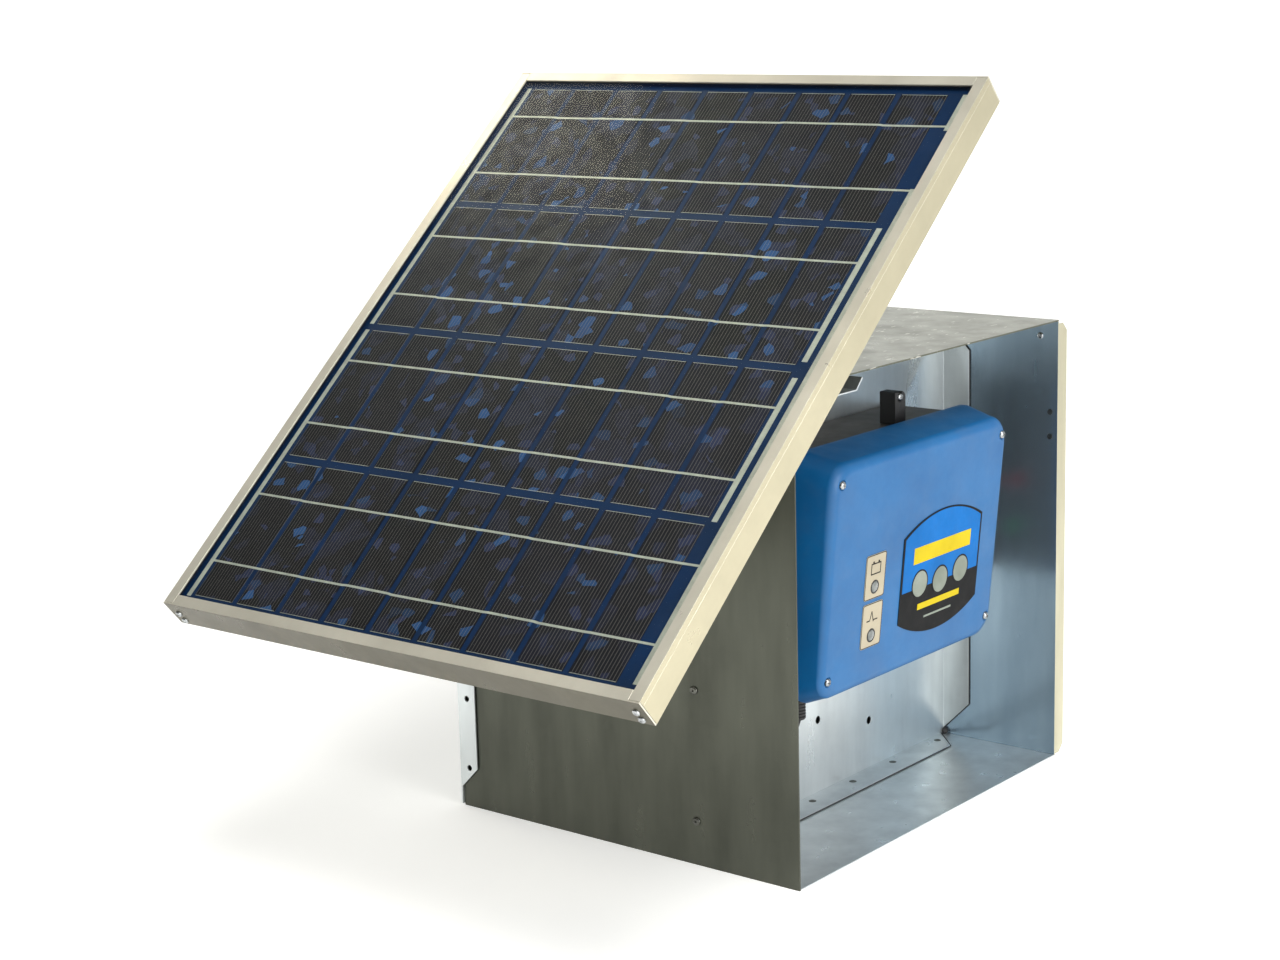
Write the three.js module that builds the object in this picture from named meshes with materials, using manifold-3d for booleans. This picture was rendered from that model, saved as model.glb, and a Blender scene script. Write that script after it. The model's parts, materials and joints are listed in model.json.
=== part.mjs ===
// Solar fence energizer: a galvanised sheet box that holds a pulse energizer in its front
// compartment and a battery behind a partition, with a framed solar panel on a clamped tilt
// hinge along the top left edge.
// Millimetres, +Z up. The origin is the centre of the box's underside. The box opens to -Y and
// the panel faces -X.

import * as THREE from 'three';
import * as BufferGeometryUtils from 'three/addons/utils/BufferGeometryUtils.js';
import Module from 'manifold-3d';

const wasm = await Module();
wasm.setup();

// ---- Driving dimensions -------------------------------------------------------------------

// Clearance between two separate pieces that touch on the real object.
const GAP = 0.3;
// How far a cutter passes beyond what it cuts.
const PAST = 1;

// Box
const BOX_WIDTH = 456;
const BOX_DEPTH = 403;
const BOX_HEIGHT = 451;
const SHEET = 1.5;
const FRONT_FLANGE = 16;
const FRONT_FLANGE_CHAMFER = 8;
const FRONT_FLANGE_MARGIN = 2;
const PARTITION_Y = -70.5;
const PARTITION_FLANGE = 30;
const FLANGE_START = 8;
const FLOOR_FLANGE_MARGIN = 8;
const PARTITION_HOLES = [[-8, 77], [82, 53]];
const PARTITION_HOLE_RADIUS = 4;
const CORNER_RELIEF_RADIUS = 4;

// Rear cover
const COVER_OVERHANG = 1.1;
const COVER_FLANGE = 22;
const COVER_FLANGE_LOW = 18.5;
const COVER_HOLE_PITCH = 70.5;
const COVER_HOLE_COUNT = 6;
const COVER_HOLE_RADIUS = 3;
const COVER_HOLE_INSET = 12;
const COVER_PLATE_LOW = 2;

// Rivets through the left wall and the partition's flange
const RIVET_HEIGHTS = [42, 166, 284, 402];
const RIVET_INSET = 17.5;
const RIVET = { shank: 2, stem: 1.1, head: 4.1, headHeight: 1.5, tail: 3, tailLength: 3 };

// Stiffener under the top sheet, a J section
const STIFFENER = { left: -208, right: -124, drop: 17, lip: 10, setback: 5, length: 94 };

// Grommet for the leads in the partition
const LEAD_HOLE = { x: -150, z: 77, radius: 9 };
const GROMMET = { bore: 5.6, rim: 10.8, reach: 4 };

// Tilt hinge of the panel
const HINGE_X = -212;
const HINGE_Z = 466;
const HINGE_OFFSET_Y = 150;
const EAR_THICKNESS = 3;
const FOOT_LENGTH = 31;
const EAR_RADIUS = 9;
const BASE_EAR_HALF_WIDTH = 14;
const BASE_FOOT = { left: 15, right: 23, length: 31 };
const PANEL_EAR_HALF_WIDTH = 12;
const PANEL_FOOT_LENGTH = 26;
const EAR_SPACING = 0.5;
const BOLT = { radius: 4, head: 7.2, headHeight: 5, end: 3 };
const NUT = { length: 7, hub: 6.6, span: 13, wing: 3, wingHeight: 3 };

// Panel, in its own axes: u up the slope, v along Y, w out of the glass
const PANEL_TILT = THREE.MathUtils.degToRad(40.94);
const PANEL_LENGTH = 670;
const PANEL_WIDTH = 540;
const PANEL_DEPTH = 30;
const PANEL_BACK_W = 25.2;
const PANEL_LOW_U = -373.7;
const FRAME_WALL = 1.6;
const FRAME_LIP = 11;
const FRAME_BACK_FLANGE = 24;
const GLASS_THICKNESS = 3.2;
const CELL_SHEET_THICKNESS = 1;
const FRAME_SCREW_DEPTHS = [14, 24];
const FRAME_SCREW_INSET = 10;
const FRAME_SCREW = { radius: 3.4, height: 1.9, recess: 1.2, recessDepth: 0.5 };
const CROSS_RAIL = { halfWidth: 15, end: 4 };
const JUNCTION = { inset: 90, length: 70, width: 100, wall: 2.5, radius: 6, rise: 4, outlet: 4.3 };
const JUNCTION_GLAND = { bore: 2.2, nut: 6.5, nutLength: 6, tail: 5.2, length: 15 };

// Energizer
const ENERGIZER_X = -16;
const RIM_WIDTH = 310;
const RIM_LOW = 146;
const RIM_HIGH = 379;
const RIM_Y = -155.5;
const RIM_RADIUS = 24;
const RIM_BAND = 0.12;
const FACE_WIDTH = 280;
const FACE_LOW = 160;
const FACE_HIGH = 361;
const FACE_TOP_Y = -201;
const FACE_BOTTOM_Y = -181;
const COVER_WALL = 2.5;
const SCREW_HALF_SPACING = 137;
const SCREW_LOW = 170;
const SCREW_HIGH = 353;
const HOUSING_WIDTH = 286;
const HOUSING_LOW = 160;
const HOUSING_HIGH = 372;
const HOUSING_BACK_Y = -72.5;
const HOUSING_WALL = 3;
const HOUSING_RADIUS = 12;
const COVER_SCREW = { radius: 3.9, height: 3.1, seat: 4.4, seatDepth: 1.2, recess: 1, recessDepth: 1 };
const LUG = { x: 34, y: -131.5, width: 18, depth: 18, height: 31, radius: 7, screwDrop: 5.5 };
const LUG_SCREW = { radius: 4.1, height: 1.9, recess: 0.9, recessDepth: 1, seat: 4.4, seatDepth: 2 };
const FILM = 0.7;
const STICKER = { x: -88, width: 33.5, height: 43.5, radius: 3, centres: [256, 209.5] };
const LENS = { drop: 10, radius: 5.4, dome: 1.6, collar: 4, pipe: 3 };
const LABEL = { x: 26.5, z: 239.5, width: 139, side: 84, rise: 18 };
const BOARD = { low: 185, high: 345, width: 250, thickness: 1.6, setback: 6 };
const CORE = { x: -80, z: 290, width: 78, height: 66, leg: 12, window: 15, depth: 34, standoff: 14 };
const WINDING_BUILD = 11;
const CAPACITOR = { x: 4, z: 300, radius: 19, length: 92, edge: 2 };
const TERMINAL = { y: -106.5, heights: [265, 215], stud: 3, collar: 9, collarLength: 4, length: 25 };
const KNOB = { start: 8, length: 20, bore: 19.5, ribs: 8, radius: 8.6, ribHeight: 0.7, samples: 32 };
const GLAND = { x: -133.5, y: -136, radius: 6, bore: 3.6, nut: 9, nutLength: 10, tail: 7, length: 16 };

// Battery, its posts and its leads
const BATTERY = { x: -7, y: 81, width: 242, depth: 175, height: 168, radius: 6, lidHeight: 22 };
const POST = { spacing: 192, inset: 20, foot: 8.8, top: 8.2, height: 16 };
const CLAMP = { lift: 3, height: 10, radius: 14, tail: 30, tailHalfWidth: 6, split: 1 };
const LEAD_RADIUS = 2.4;

// ---- Materials ----------------------------------------------------------------------------

const finish = (color, roughness, metalness) =>
  new THREE.MeshStandardMaterial({ color, roughness, metalness });
const GALVANISED = finish(0x9aa4a6, 0.42, 0.9);
const ZINC = finish(0xb9bdbf, 0.3, 1);
const ALUMINIUM = finish(0xd5cfbd, 0.35, 0.85);
const GLASS = finish(0x2a3550, 0.08, 0);
const CELLS = finish(0x1a2440, 0.35, 0);
const BLUE_PLASTIC = finish(0x1f63ad, 0.45, 0);
const BLACK_PLASTIC = finish(0x1b1b1c, 0.5, 0);
const HOUSING_PLASTIC = finish(0x5b524c, 0.5, 0);
const BEIGE_FILM = finish(0xd8c9a4, 0.5, 0);
const LABEL_FILM = finish(0x1b5fa8, 0.35, 0);
const LENS_PLASTIC = finish(0x8a8c8a, 0.2, 0);
const BOARD_RESIN = finish(0x1f6b3a, 0.55, 0);
const FERRITE = finish(0x303133, 0.7, 0.2);
const COPPER = finish(0xa8592a, 0.4, 0.8);
const RED_PLASTIC = finish(0xb3202a, 0.4, 0);
const GREEN_PLASTIC = finish(0x2c7a46, 0.4, 0);
const RUBBER = finish(0x202020, 0.8, 0);
const BATTERY_PLASTIC = finish(0x2b2d30, 0.5, 0);
const LEAD_METAL = finish(0x8d8f92, 0.5, 0.9);

// ---- Geometry helpers ---------------------------------------------------------------------

const AXES_FOR_X = new THREE.Matrix4().makeBasis(
  new THREE.Vector3(0, 1, 0), new THREE.Vector3(0, 0, 1), new THREE.Vector3(1, 0, 0));
const AXES_FOR_Y = new THREE.Matrix4().makeBasis(
  new THREE.Vector3(1, 0, 0), new THREE.Vector3(0, 0, 1), new THREE.Vector3(0, -1, 0));

// A box between two corners.
function block(low, high) {
  const size = high.map((value, i) => value - low[i]);
  const geometry = new THREE.BoxGeometry(...size);
  return geometry.translate(low[0] + size[0] / 2, low[1] + size[1] / 2, low[2] + size[2] / 2);
}

function polygon(points) {
  return new THREE.Shape(points.map(([a, b]) => new THREE.Vector2(a, b)));
}

function circle(radius, x = 0, y = 0) {
  const shape = new THREE.Shape();
  shape.absarc(x, y, radius, 0, 2 * Math.PI, false);
  return shape;
}

function roundedRectangle(width, height, radius, x = 0, y = 0) {
  const [right, top] = [width / 2, height / 2];
  const shape = new THREE.Shape();
  shape.absarc(x + right - radius, y + top - radius, radius, 0, Math.PI / 2, false);
  shape.absarc(x - right + radius, y + top - radius, radius, Math.PI / 2, Math.PI, false);
  shape.absarc(x - right + radius, y - top + radius, radius, Math.PI, 1.5 * Math.PI, false);
  shape.absarc(x + right - radius, y - top + radius, radius, 1.5 * Math.PI, 2 * Math.PI, false);
  shape.closePath();
  return shape;
}

function prism(shape, depth, curveSegments, steps = 1) {
  return new THREE.ExtrudeGeometry(shape, { depth, bevelEnabled: false, curveSegments, steps });
}

// Prisms along one axis. The shape's own axes are (y, z), (x, z) and (x, y) in turn.
function prismX(shape, x0, x1, curveSegments = 6) {
  return prism(shape, x1 - x0, curveSegments).applyMatrix4(AXES_FOR_X).translate(x0, 0, 0);
}

function prismY(shape, y0, y1, curveSegments = 6) {
  return prism(shape, y1 - y0, curveSegments).applyMatrix4(AXES_FOR_Y).translate(0, y1, 0);
}

function prismZ(shape, z0, z1, curveSegments = 6) {
  return prism(shape, z1 - z0, curveSegments).translate(0, 0, z0);
}

// A turned piece from (radius, height) points, its axis along +Z at the origin.
function turned(points, segments = 24) {
  const profile = points.map(([radius, height]) => new THREE.Vector2(radius, height));
  if (THREE.ShapeUtils.area(profile) < 0) {
    profile.reverse();
  }
  return new THREE.LatheGeometry(profile, segments).rotateX(Math.PI / 2);
}

// Lays a piece that was made along +Z along another axis, from a given point.
function along(geometry, direction, origin) {
  const turn = new THREE.Quaternion().setFromUnitVectors(
    new THREE.Vector3(0, 0, 1), new THREE.Vector3(...direction));
  return geometry.applyQuaternion(turn).translate(...origin);
}

function toManifold(geometry) {
  let bare = geometry.clone();
  bare.deleteAttribute('normal');
  bare.deleteAttribute('uv');
  bare = BufferGeometryUtils.mergeVertices(bare, 1e-4);
  const vertProperties = Float32Array.from(bare.attributes.position.array);
  const triVerts = Uint32Array.from(bare.index.array);
  return new wasm.Manifold(new wasm.Mesh({ numProp: 3, vertProperties, triVerts }));
}

function fromManifold(manifold) {
  const { vertProperties, triVerts } = manifold.getMesh();
  const geometry = new THREE.BufferGeometry();
  geometry.setAttribute('position', new THREE.BufferAttribute(Float32Array.from(vertProperties), 3));
  geometry.setIndex(new THREE.BufferAttribute(Uint32Array.from(triVerts), 1));
  geometry.computeVertexNormals();
  return geometry;
}

function cut(base, ...tools) {
  return fromManifold(tools.reduce((rest, tool) => rest.subtract(toManifold(tool)), toManifold(base)));
}

function join(base, ...others) {
  return fromManifold(others.reduce((sum, other) => sum.add(toManifold(other)), toManifold(base)));
}

const object = new THREE.Group();

function add(name, geometry, material, group = object) {
  const mesh = new THREE.Mesh(geometry, material);
  mesh.name = name;
  group.add(mesh);
}

// ---- Box ----------------------------------------------------------------------------------

const LEFT = -BOX_WIDTH / 2;
const RIGHT = BOX_WIDTH / 2;
const FRONT = -BOX_DEPTH / 2;
const BACK = BOX_DEPTH / 2;
const WALL_TOP = BOX_HEIGHT - SHEET - GAP;
const WALL_BACK = BACK - SHEET - GAP;
const INNER_LEFT = LEFT + SHEET + GAP;
const INNER_RIGHT = RIGHT - SHEET - GAP;
const FLANGE_FREE_Y = PARTITION_Y - PARTITION_FLANGE;
const RIVET_Y = PARTITION_Y - RIVET_INSET;

// The holes of the rear cover's side flanges, which the walls share, and the rivets' holes.
function coverHoles(x0, x1) {
  return Array.from({ length: COVER_HOLE_COUNT }, (_, i) => {
    const z = COVER_FLANGE_LOW + COVER_FLANGE + i * COVER_HOLE_PITCH;
    return prismX(circle(COVER_HOLE_RADIUS, BACK - COVER_HOLE_INSET, z), x0 - PAST, x1 + PAST);
  });
}

function rivetHoles(x0, x1) {
  return RIVET_HEIGHTS.map((z) =>
    prismX(circle(RIVET.shank + GAP, RIVET_Y, z), x0 - PAST, x1 + PAST));
}

function leftWall() {
  const inner = LEFT + SHEET;
  const plate = block([LEFT, FRONT, 0], [inner, WALL_BACK, WALL_TOP]);
  return cut(plate, ...coverHoles(LEFT, inner), ...rivetHoles(LEFT, inner));
}

// The right wall's front edge is folded outwards into a narrow flange with cut corners.
function rightWall() {
  const plate = block([RIGHT - SHEET, FRONT, 0], [RIGHT, WALL_BACK, WALL_TOP]);
  const edge = RIGHT + FRONT_FLANGE;
  const chamfer = FRONT_FLANGE_CHAMFER;
  const [low, high] = [FRONT_FLANGE_MARGIN, WALL_TOP - FRONT_FLANGE_MARGIN];
  const outline = polygon([
    [RIGHT - SHEET, low], [edge - chamfer, low], [edge, low + chamfer],
    [edge, high - chamfer], [edge - chamfer, high], [RIGHT - SHEET, high],
  ]);
  const flange = prismY(outline, FRONT, FRONT + SHEET);
  return cut(join(plate, flange), ...coverHoles(RIGHT - SHEET, RIGHT));
}

// The partition closes the back of the front compartment. It has a flange on all four sides, and
// its corners are relieved where the folds meet.
function partition() {
  const low = SHEET + GAP;
  const high = WALL_TOP;
  const plate = block([INNER_LEFT, PARTITION_Y, low], [INNER_RIGHT, PARTITION_Y + SHEET, high]);
  const fold = PARTITION_Y + SHEET;
  const sideOutline = polygon([
    [fold, FLANGE_START], [PARTITION_Y, FLANGE_START],
    [FLANGE_FREE_Y, FLANGE_START + PARTITION_FLANGE],
    [FLANGE_FREE_Y, BOX_HEIGHT - FLANGE_START - PARTITION_FLANGE],
    [PARTITION_Y, BOX_HEIGHT - FLANGE_START], [fold, BOX_HEIGHT - FLANGE_START],
  ]);
  const corner = INNER_RIGHT - FLOOR_FLANGE_MARGIN;
  const flatOutline = polygon([
    [-corner, fold], [-corner, PARTITION_Y], [-corner + PARTITION_FLANGE, FLANGE_FREE_Y],
    [corner - PARTITION_FLANGE, FLANGE_FREE_Y], [corner, PARTITION_Y], [corner, fold],
  ].reverse());
  const body = join(
    plate,
    prismX(sideOutline, INNER_LEFT, INNER_LEFT + SHEET),
    prismX(sideOutline, INNER_RIGHT - SHEET, INNER_RIGHT),
    prismZ(flatOutline, low, low + SHEET),
    prismZ(flatOutline, high - SHEET, high));
  const through = (x, z, radius) =>
    prismY(circle(radius, x, z), PARTITION_Y - PAST, fold + PAST);
  const corners = [INNER_LEFT, INNER_RIGHT].flatMap((x) => [low, high].map((z) => [x, z]));
  return cut(
    body,
    ...PARTITION_HOLES.map(([x, z]) => through(x, z, PARTITION_HOLE_RADIUS)),
    ...corners.map(([x, z]) => through(x, z, CORNER_RELIEF_RADIUS)),
    through(LEAD_HOLE.x, LEAD_HOLE.z, LEAD_HOLE.radius),
    ...rivetHoles(INNER_LEFT, INNER_LEFT + SHEET));
}

// The rear cover is a shallow tray whose side flanges lie outside the walls.
function rearCover() {
  const outer = RIGHT + COVER_OVERHANG + SHEET;
  const plate = block([-outer, BACK - SHEET, COVER_PLATE_LOW], [outer, BACK, WALL_TOP]);
  const free = BACK - COVER_FLANGE;
  const outline = polygon([
    [BACK, COVER_FLANGE_LOW], [BACK, BOX_HEIGHT - COVER_FLANGE_LOW],
    [free, BOX_HEIGHT - COVER_FLANGE_LOW - COVER_FLANGE], [free, COVER_FLANGE_LOW + COVER_FLANGE],
  ]);
  const left = prismX(outline, -outer, -outer + SHEET);
  const right = prismX(outline, outer - SHEET, outer);
  return cut(join(plate, left, right), ...coverHoles(-outer, outer));
}

// A J section whose free lip turns up at 45 degrees.
function topStiffener() {
  const { left, right, drop, lip, setback, length } = STIFFENER;
  const low = BOX_HEIGHT - drop - SHEET;
  const outline = polygon([
    [left, WALL_TOP], [left, low], [right, low], [right + lip, low + lip],
    [right + lip - SHEET, low + lip + SHEET], [right - SHEET / 2, low + SHEET],
    [left + SHEET, low + SHEET], [left + SHEET, WALL_TOP],
  ]);
  return prismY(outline, FRONT + setback, FRONT + setback + length);
}

// A blind rivet: a domed ring of a head outside, a solid shank and an upset end inside.
function wallRivet(z) {
  const { shank, stem, head, headHeight, tail, tailLength } = RIVET;
  const grip = 2 * SHEET + 3 * GAP;
  const profile = [
    [0, -2 * GAP], [stem, -2 * GAP], [stem, headHeight], [(stem + head) / 2, headHeight - 0.2],
    [head - 0.5, headHeight / 2], [head, 0], [shank, 0], [shank, -grip], [tail, -grip],
    [tail - 0.4, -grip - tailLength + 0.6], [0, -grip - tailLength],
  ];
  return along(turned(profile, 10), [-1, 0, 0], [LEFT - GAP, RIVET_Y, z]);
}

function leadGrommet() {
  const { bore, rim, reach } = GROMMET;
  const groove = LEAD_HOLE.radius - GAP;
  const half = SHEET / 2 + GAP;
  const profile = [
    [bore, -reach], [rim - GAP, -reach], [rim, -half], [groove, -half], [groove, half],
    [rim, half], [rim - GAP, reach], [bore, reach], [bore, -reach],
  ];
  return along(turned(profile, 16), [0, 1, 0], [LEAD_HOLE.x, PARTITION_Y + SHEET / 2, LEAD_HOLE.z]);
}

add('left_wall', leftWall(), GALVANISED);
add('right_wall', rightWall(), GALVANISED);
add('top_sheet', block([LEFT, FRONT, BOX_HEIGHT - SHEET], [RIGHT, BACK, BOX_HEIGHT]), GALVANISED);
add('floor_sheet', block([INNER_LEFT, FRONT, 0], [INNER_RIGHT, WALL_BACK, SHEET]), GALVANISED);
add('partition', partition(), GALVANISED);
add('rear_cover', rearCover(), GALVANISED);
add('top_stiffener', topStiffener(), GALVANISED);
add('lead_grommet', leadGrommet(), RUBBER);
RIVET_HEIGHTS.forEach((z, i) => add(`wall_rivet_${i + 1}`, wallRivet(z), ZINC));

// ---- Tilt hinge, box side -----------------------------------------------------------------

// Offsets from the mid-plane: the base ear, then the panel's ear outside it.
const BASE_EAR = HINGE_OFFSET_Y - EAR_THICKNESS;
const PANEL_EAR = HINGE_OFFSET_Y + EAR_SPACING;
const BOLT_HEAD = PANEL_EAR + EAR_THICKNESS + GAP;
const NUT_OUTER = BASE_EAR - GAP;
const NUT_INNER = NUT_OUTER - NUT.length;
const BOLT_END = NUT_INNER - BOLT.end;

// Orders a pair of offsets on one side of the mid-plane from low to high Y.
function sideRange(side, inner, outer) {
  return side < 0 ? [-outer, -inner] : [inner, outer];
}

// An ear: a straight-sided plate from a foot at a height to a round end about the axis at (0, 0).
function earOutline(halfWidth, foot) {
  const shape = new THREE.Shape();
  const overTheTop = foot < 0;
  shape.moveTo(-halfWidth, foot);
  shape.lineTo(-EAR_RADIUS, 0);
  shape.absarc(0, 0, EAR_RADIUS, Math.PI, 0, overTheTop);
  shape.lineTo(halfWidth, foot);
  shape.closePath();
  shape.holes.push(circle(BOLT.radius + GAP));
  return shape;
}

// The foot runs outwards, so that the wing nut turns free on the inside.
function baseBracket(side) {
  const [y0, y1] = sideRange(side, BASE_EAR, HINGE_OFFSET_Y);
  const [f0, f1] = sideRange(side, BASE_EAR, BASE_EAR + BASE_FOOT.length);
  const footLow = BOX_HEIGHT + GAP;
  const footHigh = footLow + EAR_THICKNESS;
  const ear = prismY(earOutline(BASE_EAR_HALF_WIDTH, footLow - HINGE_Z), y0, y1);
  const foot = block(
    [HINGE_X - BASE_FOOT.left, f0, footLow], [HINGE_X + BASE_FOOT.right, f1, footHigh]);
  return join(foot, ear.translate(HINGE_X, 0, HINGE_Z));
}

function pivotBolt(side) {
  const { radius, head, headHeight } = BOLT;
  const shank = BOLT_HEAD - BOLT_END;
  const profile = [
    [0, 0], [radius, 0], [radius, shank], [head, shank], [head, shank + headHeight / 2],
    [(radius + head) / 2, shank + headHeight - GAP], [0, shank + headHeight],
  ];
  return along(turned(profile, 20), [0, side, 0], [HINGE_X, side * BOLT_END, HINGE_Z]);
}

// A hub with two wings that narrow towards it.
function wingNut(side) {
  const { hub, span, wing, wingHeight } = NUT;
  const waist = wing / 2;
  const tip = 0.75 * wing;
  const quarter = 0.6 * span;
  const wings = new THREE.Shape();
  wings.moveTo(-span, -tip);
  wings.bezierCurveTo(-quarter, -wing, -quarter, -waist, 0, -waist);
  wings.bezierCurveTo(quarter, -waist, quarter, -wing, span, -tip);
  wings.lineTo(span, tip);
  wings.bezierCurveTo(quarter, wing, quarter, waist, 0, waist);
  wings.bezierCurveTo(-quarter, waist, -quarter, wing, -span, tip);
  wings.closePath();
  const body = prismY(circle(hub), ...sideRange(side, NUT_INNER, NUT_OUTER), 8);
  const spread = prismY(wings, ...sideRange(side, NUT_INNER - wingHeight, NUT_OUTER - 2), 4);
  const [b0, b1] = sideRange(side, NUT_INNER - 2 * wingHeight, NUT_OUTER + PAST);
  const bore = prismY(circle(BOLT.radius + GAP), b0, b1, 8);
  return cut(join(body, spread), bore).translate(HINGE_X, 0, HINGE_Z);
}

const HINGE_SIDES = [[-1, 'front'], [1, 'rear']];
for (const [side, place] of HINGE_SIDES) {
  add(`base_bracket_${place}`, baseBracket(side), GALVANISED);
  add(`pivot_bolt_${place}`, pivotBolt(side), ZINC);
  add(`wing_nut_${place}`, wingNut(side), ZINC);
}

// ---- Panel --------------------------------------------------------------------------------

const panel = new THREE.Group();
panel.position.set(HINGE_X, 0, HINGE_Z);
panel.rotation.y = -PANEL_TILT;
object.add(panel);

const PANEL_HIGH_U = PANEL_LOW_U + PANEL_LENGTH;
const HALF_WIDTH = PANEL_WIDTH / 2;
const FRONT_W = PANEL_BACK_W + PANEL_DEPTH;
const GLASS_TOP_W = FRONT_W - FRAME_WALL - GAP;
const GLASS_LOW_W = GLASS_TOP_W - GLASS_THICKNESS;
const CELLS_LOW_W = GLASS_LOW_W - GAP - CELL_SHEET_THICKNESS;
const SHELF_W = CELLS_LOW_W - GAP - FRAME_WALL;
const SHELF_WIDTH = FRAME_LIP - 2;

// The frame's section, as (distance in from the outer face, height): an outer wall, a front lip,
// a shelf under the glass and a flange at the back.
function frameSection() {
  const wall = FRAME_WALL;
  return [
    [0, PANEL_BACK_W], [FRAME_BACK_FLANGE, PANEL_BACK_W], [FRAME_BACK_FLANGE, PANEL_BACK_W + wall],
    [wall, PANEL_BACK_W + wall], [wall, SHELF_W], [SHELF_WIDTH, SHELF_W],
    [SHELF_WIDTH, SHELF_W + wall], [wall, SHELF_W + wall], [wall, FRONT_W - wall],
    [FRAME_LIP, FRONT_W - wall], [FRAME_LIP, FRONT_W], [0, FRONT_W],
  ];
}

// The side members run the whole length between the end members' outer walls.
function sideMember(side) {
  const points = frameSection().map(([inset, w]) => [side * (HALF_WIDTH - inset), w]);
  const outline = polygon(side < 0 ? points : points.reverse());
  const end = FRAME_WALL + GAP;
  return prismX(outline, PANEL_LOW_U + end, PANEL_HIGH_U - end);
}

// An end member's outer wall covers the side members' ends; its lip, shelf and flange fit between them.
function endMember(end) {
  const outer = end < 0 ? PANEL_LOW_U : PANEL_HIGH_U;
  const points = frameSection().map(([inset, w]) => [outer - end * inset, w]);
  const section = prismY(polygon(end < 0 ? points : points.reverse()), -HALF_WIDTH, HALF_WIDTH);
  const inner = outer - end * FRAME_WALL;
  const far = outer - end * (FRAME_BACK_FLANGE + PAST);
  const [u0, u1] = [Math.min(inner, far), Math.max(inner, far)];
  const clear = (width, w0, w1) => [-1, 1].map((side) => {
    const [v0, v1] = sideRange(side, HALF_WIDTH - width - GAP, HALF_WIDTH + PAST);
    return block([u0, v0, w0], [u1, v1, w1]);
  });
  return cut(
    section,
    ...clear(FRAME_LIP, SHELF_W - PAST, FRONT_W + PAST),
    ...clear(FRAME_BACK_FLANGE, PANEL_BACK_W - PAST, SHELF_W - PAST));
}

// A pan-head screw on z = 0, with a round recess in its top.
function panHead({ radius, height, recess, recessDepth }, foot) {
  return [
    [0, height - recessDepth], [recess, height - recessDepth], [recess, height],
    [0.7 * radius, 0.9 * height], [0.95 * radius, height / 2], [radius, -foot], [0, -foot],
  ];
}

function frameScrew(w) {
  const head = turned(panHead(FRAME_SCREW, 0), 16);
  return along(head, [-1, 0, 0], [PANEL_LOW_U - GAP, FRAME_SCREW_INSET - HALF_WIDTH, w]);
}

function crossRail() {
  const { halfWidth, end } = CROSS_RAIL;
  const reach = HALF_WIDTH - end;
  const high = PANEL_BACK_W - GAP;
  return block([-halfWidth, -reach, high - EAR_THICKNESS], [halfWidth, reach, high]);
}

// An angle bracket: a foot under the cross rail and an ear down to the pivot bolt.
function panelBracket(side) {
  const footHigh = PANEL_BACK_W - EAR_THICKNESS - 2 * GAP;
  const halfWidth = PANEL_EAR_HALF_WIDTH;
  const [f0, f1] = sideRange(side, PANEL_EAR, PANEL_EAR + PANEL_FOOT_LENGTH);
  const ear = prismY(
    earOutline(halfWidth, footHigh), ...sideRange(side, PANEL_EAR, PANEL_EAR + EAR_THICKNESS));
  return join(block([-halfWidth, f0, footHigh - EAR_THICKNESS], [halfWidth, f1, footHigh]), ear);
}

const JUNCTION_U = PANEL_HIGH_U - JUNCTION.inset;
const JUNCTION_LOW_W = PANEL_BACK_W + JUNCTION.rise;
const JUNCTION_HIGH_W = CELLS_LOW_W - GAP;
const OUTLET_W = (JUNCTION_LOW_W + JUNCTION_HIGH_W) / 2;

function junctionOutline(inset) {
  const { length, width, radius } = JUNCTION;
  return roundedRectangle(length - 2 * inset, width - 2 * inset, radius - inset, JUNCTION_U, 0);
}

function junctionBox() {
  const { length, wall, outlet } = JUNCTION;
  const outer = prismZ(junctionOutline(0), JUNCTION_LOW_W, JUNCTION_HIGH_W, 4);
  const hollow = prismZ(junctionOutline(wall), JUNCTION_LOW_W - PAST, JUNCTION_HIGH_W - wall, 4);
  const side = JUNCTION_U - length / 2;
  const hole = prismX(circle(outlet, 0, OUTLET_W), side - PAST, side + wall + PAST, 8);
  return cut(outer, hollow, hole);
}

function junctionLid() {
  const high = JUNCTION_LOW_W - GAP;
  return prismZ(junctionOutline(0), high - JUNCTION.wall, high, 4);
}

function junctionGland() {
  const { bore, nut, nutLength, tail, length } = JUNCTION_GLAND;
  const neck = JUNCTION.outlet - GAP;
  const profile = [
    [bore, -JUNCTION.wall], [neck, -JUNCTION.wall], [neck, GAP], [nut, GAP], [nut, nutLength],
    [tail, nutLength + 1], [tail, length - 1], [bore, length], [bore, -JUNCTION.wall],
  ];
  return along(turned(profile, 16), [-1, 0, 0], [JUNCTION_U - JUNCTION.length / 2, 0, OUTLET_W]);
}

for (const [side, place] of HINGE_SIDES) {
  add(`frame_side_${place}`, sideMember(side), ALUMINIUM, panel);
  add(`panel_bracket_${place}`, panelBracket(side), GALVANISED, panel);
}
add('frame_end_low', endMember(-1), ALUMINIUM, panel);
add('frame_end_high', endMember(1), ALUMINIUM, panel);
FRAME_SCREW_DEPTHS.forEach((depth, i) =>
  add(`frame_screw_${i + 1}`, frameScrew(FRONT_W - depth), ZINC, panel));

const pane = FRAME_WALL + GAP;
const paneBox = (low, high) => block(
  [PANEL_LOW_U + pane, -HALF_WIDTH + pane, low], [PANEL_HIGH_U - pane, HALF_WIDTH - pane, high]);
add('panel_glass', paneBox(GLASS_LOW_W, GLASS_TOP_W), GLASS, panel);
add('cell_sheet', paneBox(CELLS_LOW_W, GLASS_LOW_W - GAP), CELLS, panel);
add('cross_rail', crossRail(), ALUMINIUM, panel);
add('junction_box', junctionBox(), BLACK_PLASTIC, panel);
add('junction_lid', junctionLid(), BLACK_PLASTIC, panel);
add('junction_gland', junctionGland(), BLACK_PLASTIC, panel);

// ---- Energizer ----------------------------------------------------------------------------

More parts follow.
